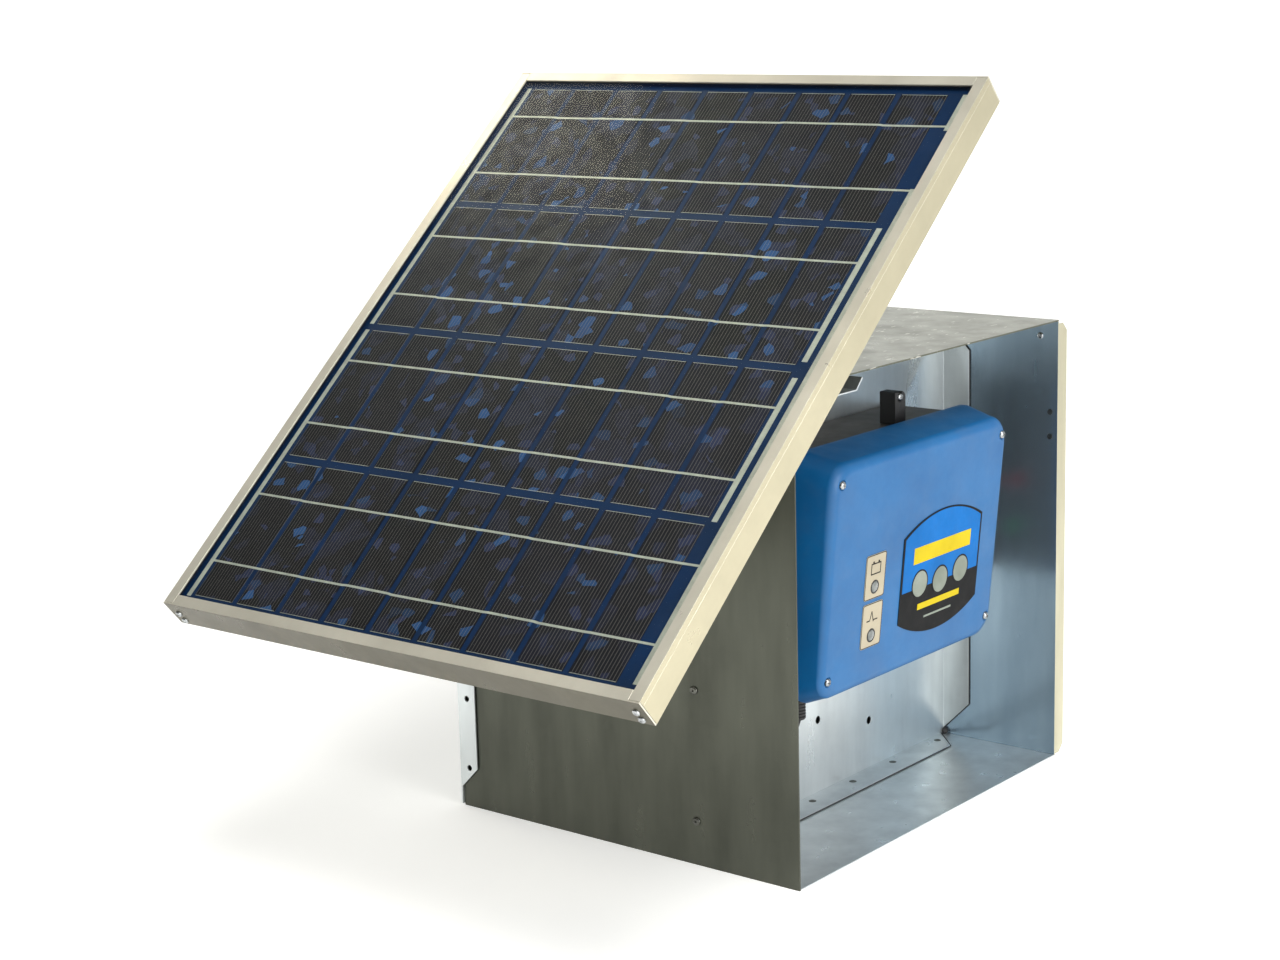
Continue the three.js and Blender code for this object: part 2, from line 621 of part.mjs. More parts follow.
const RIM_HEIGHT = RIM_HIGH - RIM_LOW;
const FACE_HEIGHT = FACE_HIGH - FACE_LOW;
const FACE_SLOPE = (FACE_BOTTOM_Y - FACE_TOP_Y) / FACE_HEIGHT;
const FACE_TILT = Math.atan(FACE_SLOPE);
const faceY = (z) => FACE_TOP_Y + (FACE_HIGH - z) * FACE_SLOPE;

// Stations of the cover from its rim (0) to its front face (1): how far forward, how far drawn in.
// A straight band at the rim is followed by a slanting side and a rounded edge.
const EDGE_FORWARD = 0.74;
const EDGE_DRAW = 0.4;
const EDGE_STEPS = 4;
const COVER_STATIONS = [[0, 0], [RIM_BAND, 0]];
for (let i = 0; i <= EDGE_STEPS; i += 1) {
  const angle = (Math.PI / 2) * (i / EDGE_STEPS);
  COVER_STATIONS.push([
    EDGE_FORWARD + (1 - EDGE_FORWARD) * Math.sin(angle),
    EDGE_DRAW + (1 - EDGE_DRAW) * (1 - Math.cos(angle)),
  ]);
}

// A cover-shaped solid, inset all round by a wall thickness: each station of a straight prism is
// moved to its own rectangle between the rim and the sloping front face.
function coverSolid(inset) {
  const width = RIM_WIDTH - 2 * inset;
  const height = RIM_HEIGHT - 2 * inset;
  const steps = COVER_STATIONS.length - 1;
  const geometry = prism(roundedRectangle(width, height, RIM_RADIUS - inset), steps, 5, steps);
  const position = geometry.attributes.position;
  for (let i = 0; i < position.count; i += 1) {
    const station = Math.round(position.getZ(i));
    const [forward, draw] = COVER_STATIONS[station];
    const across = position.getX(i) / (width / 2);
    const up = position.getY(i) / (height / 2);
    const halfWidth = THREE.MathUtils.lerp(RIM_WIDTH / 2, FACE_WIDTH / 2, draw) - inset;
    const low = THREE.MathUtils.lerp(RIM_LOW, FACE_LOW, draw) + inset;
    const high = THREE.MathUtils.lerp(RIM_HIGH, FACE_HIGH, draw) - inset;
    const x = ENERGIZER_X + across * halfWidth;
    const z = THREE.MathUtils.lerp(low, high, (up + 1) / 2);
    const y = THREE.MathUtils.lerp(RIM_Y, faceY(z) + inset, forward);
    position.setXYZ(i, x, y, z);
  }
  return geometry;
}

// Places a piece made with +Z out of the face onto the sloping front face.
function onFace(geometry, x, z, lift = GAP) {
  geometry.rotateX(Math.PI / 2 + FACE_TILT);
  const out = new THREE.Vector3(0, -Math.cos(FACE_TILT), -Math.sin(FACE_TILT)).multiplyScalar(lift);
  return geometry.translate(x, faceY(z) + out.y, z + out.z);
}

const SCREW_LEFT = ENERGIZER_X - SCREW_HALF_SPACING;
const SCREW_RIGHT = ENERGIZER_X + SCREW_HALF_SPACING;
const COVER_SCREWS = [
  ['top_left', SCREW_LEFT, SCREW_HIGH], ['top_right', SCREW_RIGHT, SCREW_HIGH],
  ['bottom_right', SCREW_RIGHT, SCREW_LOW], ['bottom_left', SCREW_LEFT, SCREW_LOW],
];

function frontCover() {
  const hollow = coverSolid(COVER_WALL).translate(0, GAP, 0);
  const shell = cut(coverSolid(0), hollow);
  const bore = (radius, depth) => prismZ(circle(radius), -depth, COVER_WALL + PAST, 16);
  const lensHoles = STICKER.centres.map((z) =>
    onFace(bore(LENS.radius + GAP, 2 * COVER_WALL), STICKER.x, z - LENS.drop, 0));
  const seats = COVER_SCREWS.map(([, x, z]) =>
    onFace(bore(COVER_SCREW.seat, COVER_SCREW.seatDepth), x, z, 0));
  return cut(shell, ...lensHoles, ...seats);
}

function coverScrew(x, z) {
  return onFace(turned(panHead(COVER_SCREW, 0), 16), x, z, GAP - COVER_SCREW.seatDepth);
}

const HOUSING_SIDE = ENERGIZER_X + HOUSING_WIDTH / 2;
const RIM_SETBACK = 2;

// The rear housing: an open-fronted tub with a flange that the cover closes against.
function rearHousing() {
  const front = RIM_Y + GAP;
  const centre = (HOUSING_LOW + HOUSING_HIGH) / 2;
  const height = HOUSING_HIGH - HOUSING_LOW;
  const rimCentre = (RIM_LOW + RIM_HIGH) / 2;
  const at = (width, tall, radius, z, y0, y1) =>
    prismY(roundedRectangle(width, tall, radius, ENERGIZER_X, z), y0, y1, 6);
  const wall = HOUSING_WALL;
  const tub = at(HOUSING_WIDTH, height, HOUSING_RADIUS, centre, front, HOUSING_BACK_Y);
  const rim = at(
    RIM_WIDTH - 2 * RIM_SETBACK, RIM_HEIGHT - 2 * RIM_SETBACK, RIM_RADIUS - RIM_SETBACK,
    rimCentre, front, front + wall);
  const hollow = at(
    HOUSING_WIDTH - 2 * wall, height - 2 * wall, HOUSING_RADIUS - wall,
    centre, front - PAST, HOUSING_BACK_Y - wall);
  const studHoles = TERMINAL.heights.map((z) =>
    prismX(circle(TERMINAL.stud + GAP, TERMINAL.y, z), HOUSING_SIDE - wall - PAST, HOUSING_SIDE + PAST));
  const glandHole = prismZ(
    circle(GLAND.radius + GAP, GLAND.x, GLAND.y), HOUSING_LOW - PAST, HOUSING_LOW + wall + PAST);
  return cut(join(tub, rim), hollow, ...studHoles, glandHole);
}

// A terminal: a moulded collar outside the housing on a threaded stud.
function terminal(z) {
  const { stud, collar, collarLength, length, y } = TERMINAL;
  const inside = -2 * HOUSING_WALL;
  const profile = [
    [0, inside], [stud, inside], [stud, GAP], [collar, GAP], [collar - 0.6, collarLength],
    [stud, collarLength], [stud, length - 1], [stud - 0.6, length], [0, length],
  ];
  return along(turned(profile, 14), [1, 0, 0], [HOUSING_SIDE, y, z]);
}

// A clamp knob with a ribbed grip, bored for the stud.
function terminalKnob(z) {
  const { start, length, bore, ribs, radius, ribHeight, samples } = KNOB;
  const points = Array.from({ length: samples }, (_, i) => {
    const angle = (2 * Math.PI * i) / samples;
    const reach = radius + ribHeight * Math.cos(ribs * angle);
    return [TERMINAL.y + reach * Math.cos(angle), z + reach * Math.sin(angle)];
  });
  const inner = HOUSING_SIDE + start;
  const hole = prismX(circle(TERMINAL.stud + GAP, TERMINAL.y, z), inner - PAST, inner + bore, 10);
  return cut(prismX(polygon(points), inner, inner + length), hole);
}

const LUG_BASE = HOUSING_HIGH + GAP;
const LUG_FRONT = LUG.y - LUG.depth / 2;
const LUG_SCREW_Z = LUG_BASE + LUG.height - LUG.screwDrop;

// The lug that the energizer hangs by, with one rounded corner.
function mountingLug() {
  const { x, width, depth, height, radius } = LUG;
  const [left, right, top] = [x - width / 2, x + width / 2, LUG_BASE + height];
  const outline = new THREE.Shape();
  outline.moveTo(left, LUG_BASE);
  outline.lineTo(right, LUG_BASE);
  outline.absarc(right - radius, top - radius, radius, 0, Math.PI / 2, false);
  outline.lineTo(left, top);
  outline.closePath();
  const { seat, seatDepth } = LUG_SCREW;
  const recess = prismY(circle(seat, x, LUG_SCREW_Z), LUG_FRONT - PAST, LUG_FRONT + seatDepth);
  return cut(prismY(outline, LUG_FRONT, LUG_FRONT + depth), recess);
}

function lugScrew() {
  const head = turned(panHead(LUG_SCREW, LUG_SCREW.seatDepth - GAP), 16);
  return along(head, [0, -1, 0], [LUG.x, LUG_FRONT, LUG_SCREW_Z]);
}

const BOARD_FRONT_Y = RIM_Y - BOARD.setback;
const BOARD_BACK_Y = BOARD_FRONT_Y + BOARD.thickness;

// A light pipe from the circuit board to the face, with a domed lens.
function statusLens(z) {
  const { drop, radius, dome, collar, pipe } = LENS;
  const height = z - drop;
  const reach = BOARD_FRONT_Y - faceY(height) - 6;
  const profile = [
    [0, dome], [radius / 2, 0.9 * dome], [0.8 * radius, dome / 2], [radius, 0], [radius, -collar],
    [pipe, -collar - 1], [pipe, -reach], [0, -reach],
  ];
  return onFace(turned(profile, 16), STICKER.x, height, GAP);
}

function indicatorSticker(z) {
  const shape = roundedRectangle(STICKER.width, STICKER.height, STICKER.radius);
  shape.holes.push(circle(LENS.radius + GAP, 0, -LENS.drop));
  return onFace(prism(shape, FILM, 6), STICKER.x, z);
}

// The label's outline has straight sides, an arched top and a bowl-shaped bottom.
function frontLabel() {
  const { width, side, rise } = LABEL;
  const radius = (width * width / 4 + rise * rise) / (2 * rise);
  const sweep = Math.asin(width / 2 / radius);
  const centre = side / 2 + rise - radius;
  const shape = new THREE.Shape();
  shape.absarc(0, centre, radius, Math.PI / 2 - sweep, Math.PI / 2 + sweep, false);
  shape.absarc(0, -centre, radius, 1.5 * Math.PI - sweep, 1.5 * Math.PI + sweep, false);
  shape.closePath();
  return onFace(prism(shape, FILM, 12), LABEL.x, LABEL.z);
}

function circuitBoard() {
  const { low, high, width } = BOARD;
  return block(
    [ENERGIZER_X - width / 2, BOARD_FRONT_Y, low], [ENERGIZER_X + width / 2, BOARD_BACK_Y, high]);
}

// Pulse transformer: a three-legged core with its winding round the middle leg.
const CORE_Y = BOARD_BACK_Y + CORE.standoff;
const CORE_BACK_Y = CORE_Y + CORE.depth;
const MIDDLE_LEG = CORE.width / 2 - CORE.leg - CORE.window;
const WINDOW_REACH = CORE.height / 2 - CORE.leg;

function transformerCore() {
  const { x, z, width, height, window } = CORE;
  const [halfWidth, halfHeight] = [width / 2, height / 2];
  const body = block([x - halfWidth, CORE_Y, z - halfHeight], [x + halfWidth, CORE_BACK_Y, z + halfHeight]);
  const windows = [-1, 1].map((side) => {
    const [x0, x1] = sideRange(side, MIDDLE_LEG, MIDDLE_LEG + window);
    return block(
      [x + x0, CORE_Y - PAST, z - WINDOW_REACH], [x + x1, CORE_BACK_Y + PAST, z + WINDOW_REACH]);
  });
  return cut(body, ...windows);
}

function transformerWinding() {
  const { x, z, window } = CORE;
  const outside = MIDDLE_LEG + window - 1;
  const inside = MIDDLE_LEG + GAP;
  const reach = WINDOW_REACH - 1;
  const body = block(
    [x - outside, CORE_Y - WINDING_BUILD, z - reach],
    [x + outside, CORE_BACK_Y + WINDING_BUILD, z + reach]);
  const eye = block(
    [x - inside, CORE_Y - GAP, z - reach - PAST], [x + inside, CORE_BACK_Y + GAP, z + reach + PAST]);
  return cut(body, eye);
}

function storageCapacitor() {
  const { x, z, radius, length, edge } = CAPACITOR;
  const profile = [
    [0, 0], [radius - edge, 0], [radius, edge], [radius, length - edge], [radius - edge, length], [0, length],
  ];
  return along(turned(profile, 20), [1, 0, 0], [x, BOARD_BACK_Y + radius + 1, z]);
}

const GLAND_TOP = HOUSING_LOW + HOUSING_WALL;

function leadGland() {
  const { x, y, radius, bore, nut, nutLength, tail, length } = GLAND;
  const under = -HOUSING_WALL - GAP;
  const profile = [
    [bore, 2], [radius, 2], [radius, under], [nut, under], [nut, -nutLength], [tail, 1 - length],
    [bore, -length], [bore, 2],
  ];
  return along(turned(profile, 16), [0, 0, 1], [x, y, GLAND_TOP]);
}

add('front_cover', frontCover(), BLUE_PLASTIC);
add('rear_housing', rearHousing(), HOUSING_PLASTIC);
COVER_SCREWS.forEach(([place, x, z]) => add(`cover_screw_${place}`, coverScrew(x, z), ZINC));
add('mounting_lug', mountingLug(), BLACK_PLASTIC);
add('lug_screw', lugScrew(), ZINC);
add('battery_sticker', indicatorSticker(STICKER.centres[0]), BEIGE_FILM);
add('pulse_sticker', indicatorSticker(STICKER.centres[1]), BEIGE_FILM);
add('battery_lens', statusLens(STICKER.centres[0]), LENS_PLASTIC);
add('pulse_lens', statusLens(STICKER.centres[1]), LENS_PLASTIC);
add('front_label', frontLabel(), LABEL_FILM);
add('circuit_board', circuitBoard(), BOARD_RESIN);
add('transformer_core', transformerCore(), FERRITE);
add('transformer_winding', transformerWinding(), COPPER);
add('storage_capacitor', storageCapacitor(), BLACK_PLASTIC);
add('fence_terminal', terminal(TERMINAL.heights[0]), ZINC);
add('fence_knob', terminalKnob(TERMINAL.heights[0]), RED_PLASTIC);
add('earth_terminal', terminal(TERMINAL.heights[1]), ZINC);
add('earth_knob', terminalKnob(TERMINAL.heights[1]), GREEN_PLASTIC);
add('lead_gland', leadGland(), BLACK_PLASTIC);

// ---- Battery and its leads ----------------------------------------------------------------

const BATTERY_BASE = SHEET + GAP;
const BATTERY_TOP = BATTERY_BASE + BATTERY.height;
const LID_BASE = BATTERY_TOP + GAP;
const POST_BASE = LID_BASE + BATTERY.lidHeight;
const POST_Y = BATTERY.y - BATTERY.depth / 2 + POST.inset;
const POLES = [['positive', 1, RED_PLASTIC], ['negative', -1, BLACK_PLASTIC]];
const postX = (side) => BATTERY.x + side * POST.spacing / 2;

function batteryOutline(inset) {
  const { x, y, width, depth, radius } = BATTERY;
  return roundedRectangle(width - 2 * inset, depth - 2 * inset, radius - inset, x, y);
}

// The lid carries the two tapered posts and stands a little proud of the case.
function batteryLid() {
  const { foot, top, height } = POST;
  const posts = POLES.map(([, side]) => {
    const post = turned([[0, -2], [foot, -2], [foot, 0], [top, height], [0, height]], 16);
    return post.translate(postX(side), POST_Y, POST_BASE);
  });
  return join(prismZ(batteryOutline(0), LID_BASE, POST_BASE, 4), ...posts);
}

const CLAMP_LOW = POST_BASE + CLAMP.lift;
const CLAMP_HIGH = CLAMP_LOW + CLAMP.height;

// A clamp: a split ring round the post with a tail towards the front that takes the lead.
function batteryClamp(side) {
  const { radius, tail, tailHalfWidth, split } = CLAMP;
  const ring = prismZ(circle(radius), CLAMP_LOW, CLAMP_HIGH, 8);
  const arm = block([-tailHalfWidth, -tail, CLAMP_LOW], [tailHalfWidth, -POST.foot - PAST, CLAMP_HIGH]);
  const bore = prismZ(circle(POST.foot + GAP), CLAMP_LOW - PAST, CLAMP_HIGH + PAST, 8);
  const slit = block(
    [-split, POST.foot - PAST, CLAMP_LOW - PAST], [split, radius + PAST, CLAMP_HIGH + PAST]);
  return cut(join(ring, arm), bore, slit).translate(postX(side), POST_Y, 0);
}

// The two leads run side by side out of the gland, back through the grommet and up to the clamps.
const LEAD_START_Z = GLAND_TOP - GLAND.length - GAP;
const LEAD_END_Y = POST_Y - CLAMP.tail - GAP;
const CLAMP_MIDDLE = (CLAMP_LOW + CLAMP_HIGH) / 2;
const LEAD_ROUTES = {
  positive: [
    [-136.3, -136, LEAD_START_Z], [-136.3, -136, 130], [-138, -129, 108], [-144.1, -112, 87],
    [-152.7, -90, 77.5], [-152.7, -70, 77], [-152.7, -48, 79], [-148, -33, 96], [-120, -27, 140],
    [-60, -28, 178], [10, -32, 192], [50, -34, 198.5], [75, -33.8, CLAMP_MIDDLE],
    [84.9, -29.7, CLAMP_MIDDLE], [postX(1), -19.8, CLAMP_MIDDLE], [postX(1), LEAD_END_Y, CLAMP_MIDDLE],
  ],
  negative: [
    [-130.7, -136, LEAD_START_Z], [-130.7, -136, 130], [-132.4, -129, 108], [-138.5, -112, 87],
    [-147.3, -90, 77.5], [-147.3, -70, 77], [-147.3, -50, 79], [-143, -38, 96], [-134, -35, 135],
    [-115, -32.5, 168], [-104.5, -31.8, 184], [postX(-1), -28, 196.3],
    [postX(-1), LEAD_END_Y - 2, CLAMP_MIDDLE], [postX(-1), LEAD_END_Y, CLAMP_MIDDLE],
  ],
};

function lead(points) {
  const places = points.map((point) => new THREE.Vector3(...point));
  const extrudePath = new THREE.CatmullRomCurve3(places, false, 'centripetal');
  const steps = Math.round(extrudePath.getLength() / (5 * LEAD_RADIUS));
  return new THREE.ExtrudeGeometry(circle(LEAD_RADIUS), { extrudePath, steps, curveSegments: 4 });
}

const CASE_INSET = 1.5;
add('battery_case', prismZ(batteryOutline(CASE_INSET), BATTERY_BASE, BATTERY_TOP, 4), BATTERY_PLASTIC);
add('battery_lid', batteryLid(), BATTERY_PLASTIC);
for (const [pole, side, material] of POLES) {
  add(`clamp_${pole}`, batteryClamp(side), LEAD_METAL);
  add(`lead_${pole}`, lead(LEAD_ROUTES[pole]), material);
}

export default object;
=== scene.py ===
# Looks of the solar fence energizer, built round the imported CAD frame.
# Metres, +Z up, the panel towards -X and the open front towards -Y. Shapes are drawn in
# millimetres, in the row frame or in the panel's own axes (u up its slope, v along Y, w out of
# the glass), and scaled when they become objects.

import json
import math
import random

import bmesh
import bpy
from mathutils import Matrix, Vector

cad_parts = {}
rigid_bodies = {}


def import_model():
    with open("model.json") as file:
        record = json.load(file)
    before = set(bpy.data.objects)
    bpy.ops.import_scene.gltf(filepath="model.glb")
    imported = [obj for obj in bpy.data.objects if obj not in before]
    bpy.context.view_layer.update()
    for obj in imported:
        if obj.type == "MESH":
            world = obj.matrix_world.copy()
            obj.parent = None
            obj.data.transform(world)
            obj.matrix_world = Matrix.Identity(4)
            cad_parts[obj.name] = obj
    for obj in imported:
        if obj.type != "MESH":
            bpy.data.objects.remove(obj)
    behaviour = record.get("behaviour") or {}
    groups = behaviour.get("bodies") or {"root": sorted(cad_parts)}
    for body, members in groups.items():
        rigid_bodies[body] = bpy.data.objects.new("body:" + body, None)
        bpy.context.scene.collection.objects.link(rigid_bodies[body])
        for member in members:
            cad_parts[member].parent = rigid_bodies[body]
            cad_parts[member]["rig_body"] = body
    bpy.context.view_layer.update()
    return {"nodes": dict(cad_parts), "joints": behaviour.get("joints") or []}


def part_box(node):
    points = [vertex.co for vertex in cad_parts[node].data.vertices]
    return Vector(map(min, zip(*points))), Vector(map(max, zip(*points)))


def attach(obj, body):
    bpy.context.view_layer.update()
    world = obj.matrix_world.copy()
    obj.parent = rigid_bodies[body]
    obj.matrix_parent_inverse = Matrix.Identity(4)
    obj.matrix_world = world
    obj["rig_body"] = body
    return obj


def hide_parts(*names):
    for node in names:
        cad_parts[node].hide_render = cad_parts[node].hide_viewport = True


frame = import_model()

MM = 0.001
UP = Vector((0, 0, 1))
scene = bpy.context.scene
scene.view_settings.view_transform = "Standard"


def node_box(name):
    """A CAD node's lowest and highest corners, in millimetres."""
    return [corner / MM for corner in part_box(name)]


# ---- Camera ----

CAMERA_PLACE = (-1.8819, -1.3692, 0.8022)
CAMERA_AZIMUTH = math.radians(-51.05)
CAMERA_ELEVATION = math.radians(11.93)
CAMERA_ROLL = math.radians(-1.52)
CAMERA_LENS = 68.2


def make_camera():
    camera = bpy.data.objects.new("camera", bpy.data.cameras.new("camera"))
    scene.collection.objects.link(camera)
    camera.data.lens = CAMERA_LENS
    camera.data.sensor_width = 36
    back = Vector((
        math.sin(CAMERA_AZIMUTH) * math.cos(CAMERA_ELEVATION),
        -math.cos(CAMERA_AZIMUTH) * math.cos(CAMERA_ELEVATION),
        math.sin(CAMERA_ELEVATION),
    ))
    level = (-back).cross(UP).normalized()
    upright = back.cross(level)
    right = level * math.cos(CAMERA_ROLL) + upright * math.sin(CAMERA_ROLL)
    up = upright * math.cos(CAMERA_ROLL) - level * math.sin(CAMERA_ROLL)
    turn = Matrix((right, up, back)).transposed().to_4x4()
    camera.matrix_world = Matrix.Translation(CAMERA_PLACE) @ turn
    scene.camera = camera


make_camera()


# ---- Surfaces ----


def rgb(code):
    """A linear colour from an sRGB hex code."""
    parts = [int(code[i:i + 2], 16) / 255 for i in (0, 2, 4)]
    return [c / 12.92 if c <= 0.04045 else ((c + 0.055) / 1.055) ** 2.4 for c in parts]


class Surface:
    """A Principled material whose inputs are fed by short chains of nodes in the piece's own axes."""

    def __init__(self, name, slot=None, **values):
        self.material = bpy.data.materials.new(name)
        self.material.use_nodes = True
        if slot:
            self.material["slot"] = slot
        self.tree = self.material.node_tree
        self.shader = self.tree.nodes["Principled BSDF"]
        self.place = self.node("TexCoord").outputs["Object"]
        self.feed(**values)

    def feed(self, **values):
        for key, value in values.items():
            self.join(value, self.shader.inputs[key.replace("_", " ")])

    def join(self, value, socket):
        if isinstance(value, bpy.types.NodeSocket):
            self.tree.links.new(value, socket)
        elif isinstance(value, (list, tuple)) and socket.type == "RGBA":
            socket.default_value = (*value[:3], 1)
        else:
            socket.default_value = value

    def node(self, kind, settings=None, **inputs):
        made = self.tree.nodes.new("ShaderNode" + kind)
        for key, value in (settings or {}).items():
            setattr(made, key, value)
        for key, value in inputs.items():
            self.join(value, made.inputs[key.replace("_", " ")])
        return made

    def scaled(self, x, y, z):
        """The piece's axes, each stretched by its own factor."""
        return self.node("Mapping", Vector=self.place, Scale=(x, y, z)).outputs["Vector"]

    def noise(self, size, detail=3.0, roughness=0.55, at=None):
        """Noise whose blotches are about size millimetres across."""
        return self.node(
            "TexNoise", Vector=at or self.place, Scale=1 / (size * MM), Detail=detail,
            Roughness=roughness).outputs["Fac"]

    def patches(self, size, output="Color", at=None, feature="F1"):
        """Voronoi patches about size millimetres across."""
        return self.node(
            "TexVoronoi", {"feature": feature}, Vector=at or self.place,
            Scale=1 / (size * MM)).outputs[output]

    def remap(self, value, low, high, to_low=0.0, to_high=1.0):
        made = self.node(
            "MapRange", Value=value, From_Min=low, From_Max=high, To_Min=to_low, To_Max=to_high)
        return made.outputs["Result"]

    def mix(self, factor, a, b, blend="MIX"):
        made = self.node("Mix", {"data_type": "RGBA", "blend_type": blend})
        for value, index in ((factor, 0), (a, 6), (b, 7)):
            self.join(value, made.inputs[index])
        return made.outputs[2]

    def maths(self, operation, *values):
        made = self.node("Math", {"operation": operation})
        for value, socket in zip(values, made.inputs):
            self.join(value, socket)
        return made.outputs[0]

    def bump(self, height, distance, strength=1.0, under=None):
        """A bump of that many millimetres, over an earlier one."""
        made = self.node("Bump", Height=height, Distance=distance * MM, Strength=strength)
        if under is not None:
            self.join(under, made.inputs["Normal"])
        return made.outputs["Normal"]

    def axis(self, letter):
        return self.node("SeparateXYZ", Vector=self.place).outputs[letter]


def weathered(surface, colour, dark, roughness, spread, blotch, dust=None, dust_share=0.12):
    """Colour between two tones in broad blotches, roughness that follows them and a little dust."""
    broad = surface.noise(blotch, detail=4)
    fine = surface.noise(blotch / 12, detail=3)
    tone = surface.mix(surface.remap(broad, 0.35, 0.7), colour, dark)
    tone = surface.mix(surface.remap(fine, 0.3, 0.9, 0, 0.35), tone, dark)
    if dust:
        settled = surface.remap(
            surface.noise(blotch / 2.2, detail=6, roughness=0.7), 0.5, 0.8, 0, dust_share)
        tone = surface.mix(settled, tone, dust)
    surface.feed(
        Base_Color=tone,
        Roughness=surface.remap(
            surface.noise(blotch / 3, detail=5), 0.3, 0.7, roughness - spread, roughness + spread))


def galvanised(name, tint, shade, stain, gloss=0.26, dashes=0.0):
    """Zinc-coated sheet with a faint spangle, rolling lines, stains and, on request, bright dashes."""
    surface = Surface(name, "galvanised_steel", Metallic=0.88)
    spangle = surface.node("SeparateColor", Color=surface.patches(9)).outputs[0]
    streaks = surface.noise(30, detail=3, at=surface.scaled(1, 1, 0.18))
    tone = surface.mix(surface.remap(streaks, 0.3, 0.75), rgb(tint), rgb(shade))
    tone = surface.mix(surface.remap(spangle, 0, 1, 0, 0.16), tone, rgb(tint))
    stained = surface.remap(surface.noise(45, detail=4), 0.55, 0.75, 0, 0.1)
    tone = surface.mix(stained, tone, rgb(stain))
    if dashes:
        scratches = surface.noise(3.5, detail=1, at=surface.scaled(0.2, 1, 1))
        tone = surface.mix(surface.remap(scratches, 0.7, 0.74, 0, dashes), tone, rgb("f2f0e6"))
    rough = surface.maths(
        "ADD", surface.remap(spangle, 0, 1, 0.0, 0.012),
        surface.remap(streaks, 0.3, 0.7, gloss, gloss + 0.1))
    rolled = surface.noise(2.2, detail=0, at=surface.scaled(1, 1, 0.04))
    surface.feed(
        Base_Color=tone, Roughness=rough,
        Normal=surface.bump(surface.noise(60, detail=1), 0.5, 0.08, surface.bump(rolled, 0.02, 0.3)))
    return surface.material


def grained(name, slot, tones, roughness, blotch, grain, dust=None, dust_share=0.12, **values):
    """Two weathered tones, a roughness and its spread, and a grain's size, detail, depth and strength."""
    surface = Surface(name, slot, **values)
    weathered(surface, *map(rgb, tones), *roughness, blotch, dust and rgb(dust), dust_share)
    size, detail, depth, strength = grain
    surface.feed(Normal=surface.bump(surface.noise(size, detail=detail), depth, strength))
    return surface.material


def zinc_fastener(name, *tones):
    return grained(
        name, "zinc_fastener", tones, (0.28, 0.08), 9, (0.7, 3, 0.03, 0.5), "6b5d45", 0.2, Metallic=1.0)


def aluminium(name, scale, tint="e0dccd", shade="cdc9ba"):
    """Anodised extrusion: die lines run along the axis whose scale is small."""
    surface = Surface(name, "aluminium_frame", Metallic=0.5)
    lines = surface.noise(1.6, detail=2, at=surface.scaled(*scale))
    weathered(surface, rgb(tint), rgb(shade), 0.33, 0.06, 120, dust=rgb("a79d84"), dust_share=0.15)
    surface.feed(Normal=surface.bump(lines, 0.03, 0.5))
    return surface.material


FINGER_PITCH = 3.4
FINGER_SHARE = 0.13


def solar_cells():
    """Polycrystalline silicon: brown-black grains, violet and light blue shards, and printed fingers."""
    surface = Surface("solar_cells", "solar_cells", Metallic=0.15, Specular_IOR_Level=0.4)
    bent = surface.node("Mix", {"data_type": "VECTOR"}, Factor=0.012)
    surface.join(surface.place, bent.inputs[4])
    surface.join(surface.node(
        "TexNoise", Vector=surface.place, Scale=28.0).outputs["Color"], bent.inputs[5])
    large = surface.node("SeparateColor", Color=surface.patches(24, at=bent.outputs[1]))
    small = surface.node("SeparateColor", Color=surface.patches(10, at=bent.outputs[1]))
    tone = surface.mix(large.outputs[0], rgb("140f0b"), rgb("1b1614"))
    tone = surface.mix(surface.remap(large.outputs[1], 0.72, 0.78, 0, 0.7), tone, rgb("2a2a3c"))
    tone = surface.mix(surface.remap(small.outputs[2], 0.91, 0.94, 0, 0.5), tone, rgb("444d75"))
    tone = surface.mix(surface.remap(small.outputs[1], 0.95, 0.97, 0, 0.7), tone, rgb("3b6ea5"))
    tone = surface.mix(surface.remap(small.outputs[0], 0.5, 0.8, 0, 0.5), tone, rgb("120e0d"))
    each = surface.node("Attribute", {"attribute_name": "tone"}).outputs["Fac"]
    tone = surface.mix(surface.remap(each, 0, 1, 0, 0.35), tone, rgb("231d2a"))
    across = surface.maths("FRACT", surface.maths("DIVIDE", surface.axis("Y"), FINGER_PITCH * MM))
    finger = surface.maths("LESS_THAN", across, FINGER_SHARE)
    tone = surface.mix(surface.maths("MULTIPLY", finger, 0.6), tone, rgb("a0958a"))
    surface.feed(
        Base_Color=tone,
        Roughness=surface.remap(small.outputs[0], 0, 1, 0.3, 0.5),
        Normal=surface.bump(finger, 0.02, 0.5))
    return surface.material


def panel_glass():
    """Clear glass over the cells: light goes through, and only its gloss and a little dust show."""
    surface = Surface("panel_glass", "panel_glass", Specular_IOR_Level=0.5)
    surface.feed(
        Base_Color=rgb("2a2a28"),
        Roughness=surface.remap(surface.noise(90, detail=5), 0.3, 0.7, 0.05, 0.14),
        Normal=surface.bump(surface.noise(1.4, detail=1), 0.01, 0.3))
    clear = surface.node("BsdfTransparent", Color=rgb("f4f8fb"))
    gloss = surface.node("Fresnel", IOR=1.45).outputs[0]
    dust = surface.remap(surface.noise(160, detail=7, roughness=0.65), 0.4, 0.8, 0.002, 0.014)
    outside = surface.maths("SUBTRACT", 1.0, surface.node("NewGeometry").outputs["Backfacing"])
    share = surface.maths("MULTIPLY", surface.maths("ADD", gloss, dust), outside)
    mixed = surface.node("MixShader", Fac=share)
    surface.join(clear.outputs[0], mixed.inputs[1])
    surface.join(surface.shader.outputs[0], mixed.inputs[2])
    surface.join(mixed.outputs[0], surface.tree.nodes["Material Output"].inputs["Surface"])
    return surface.material


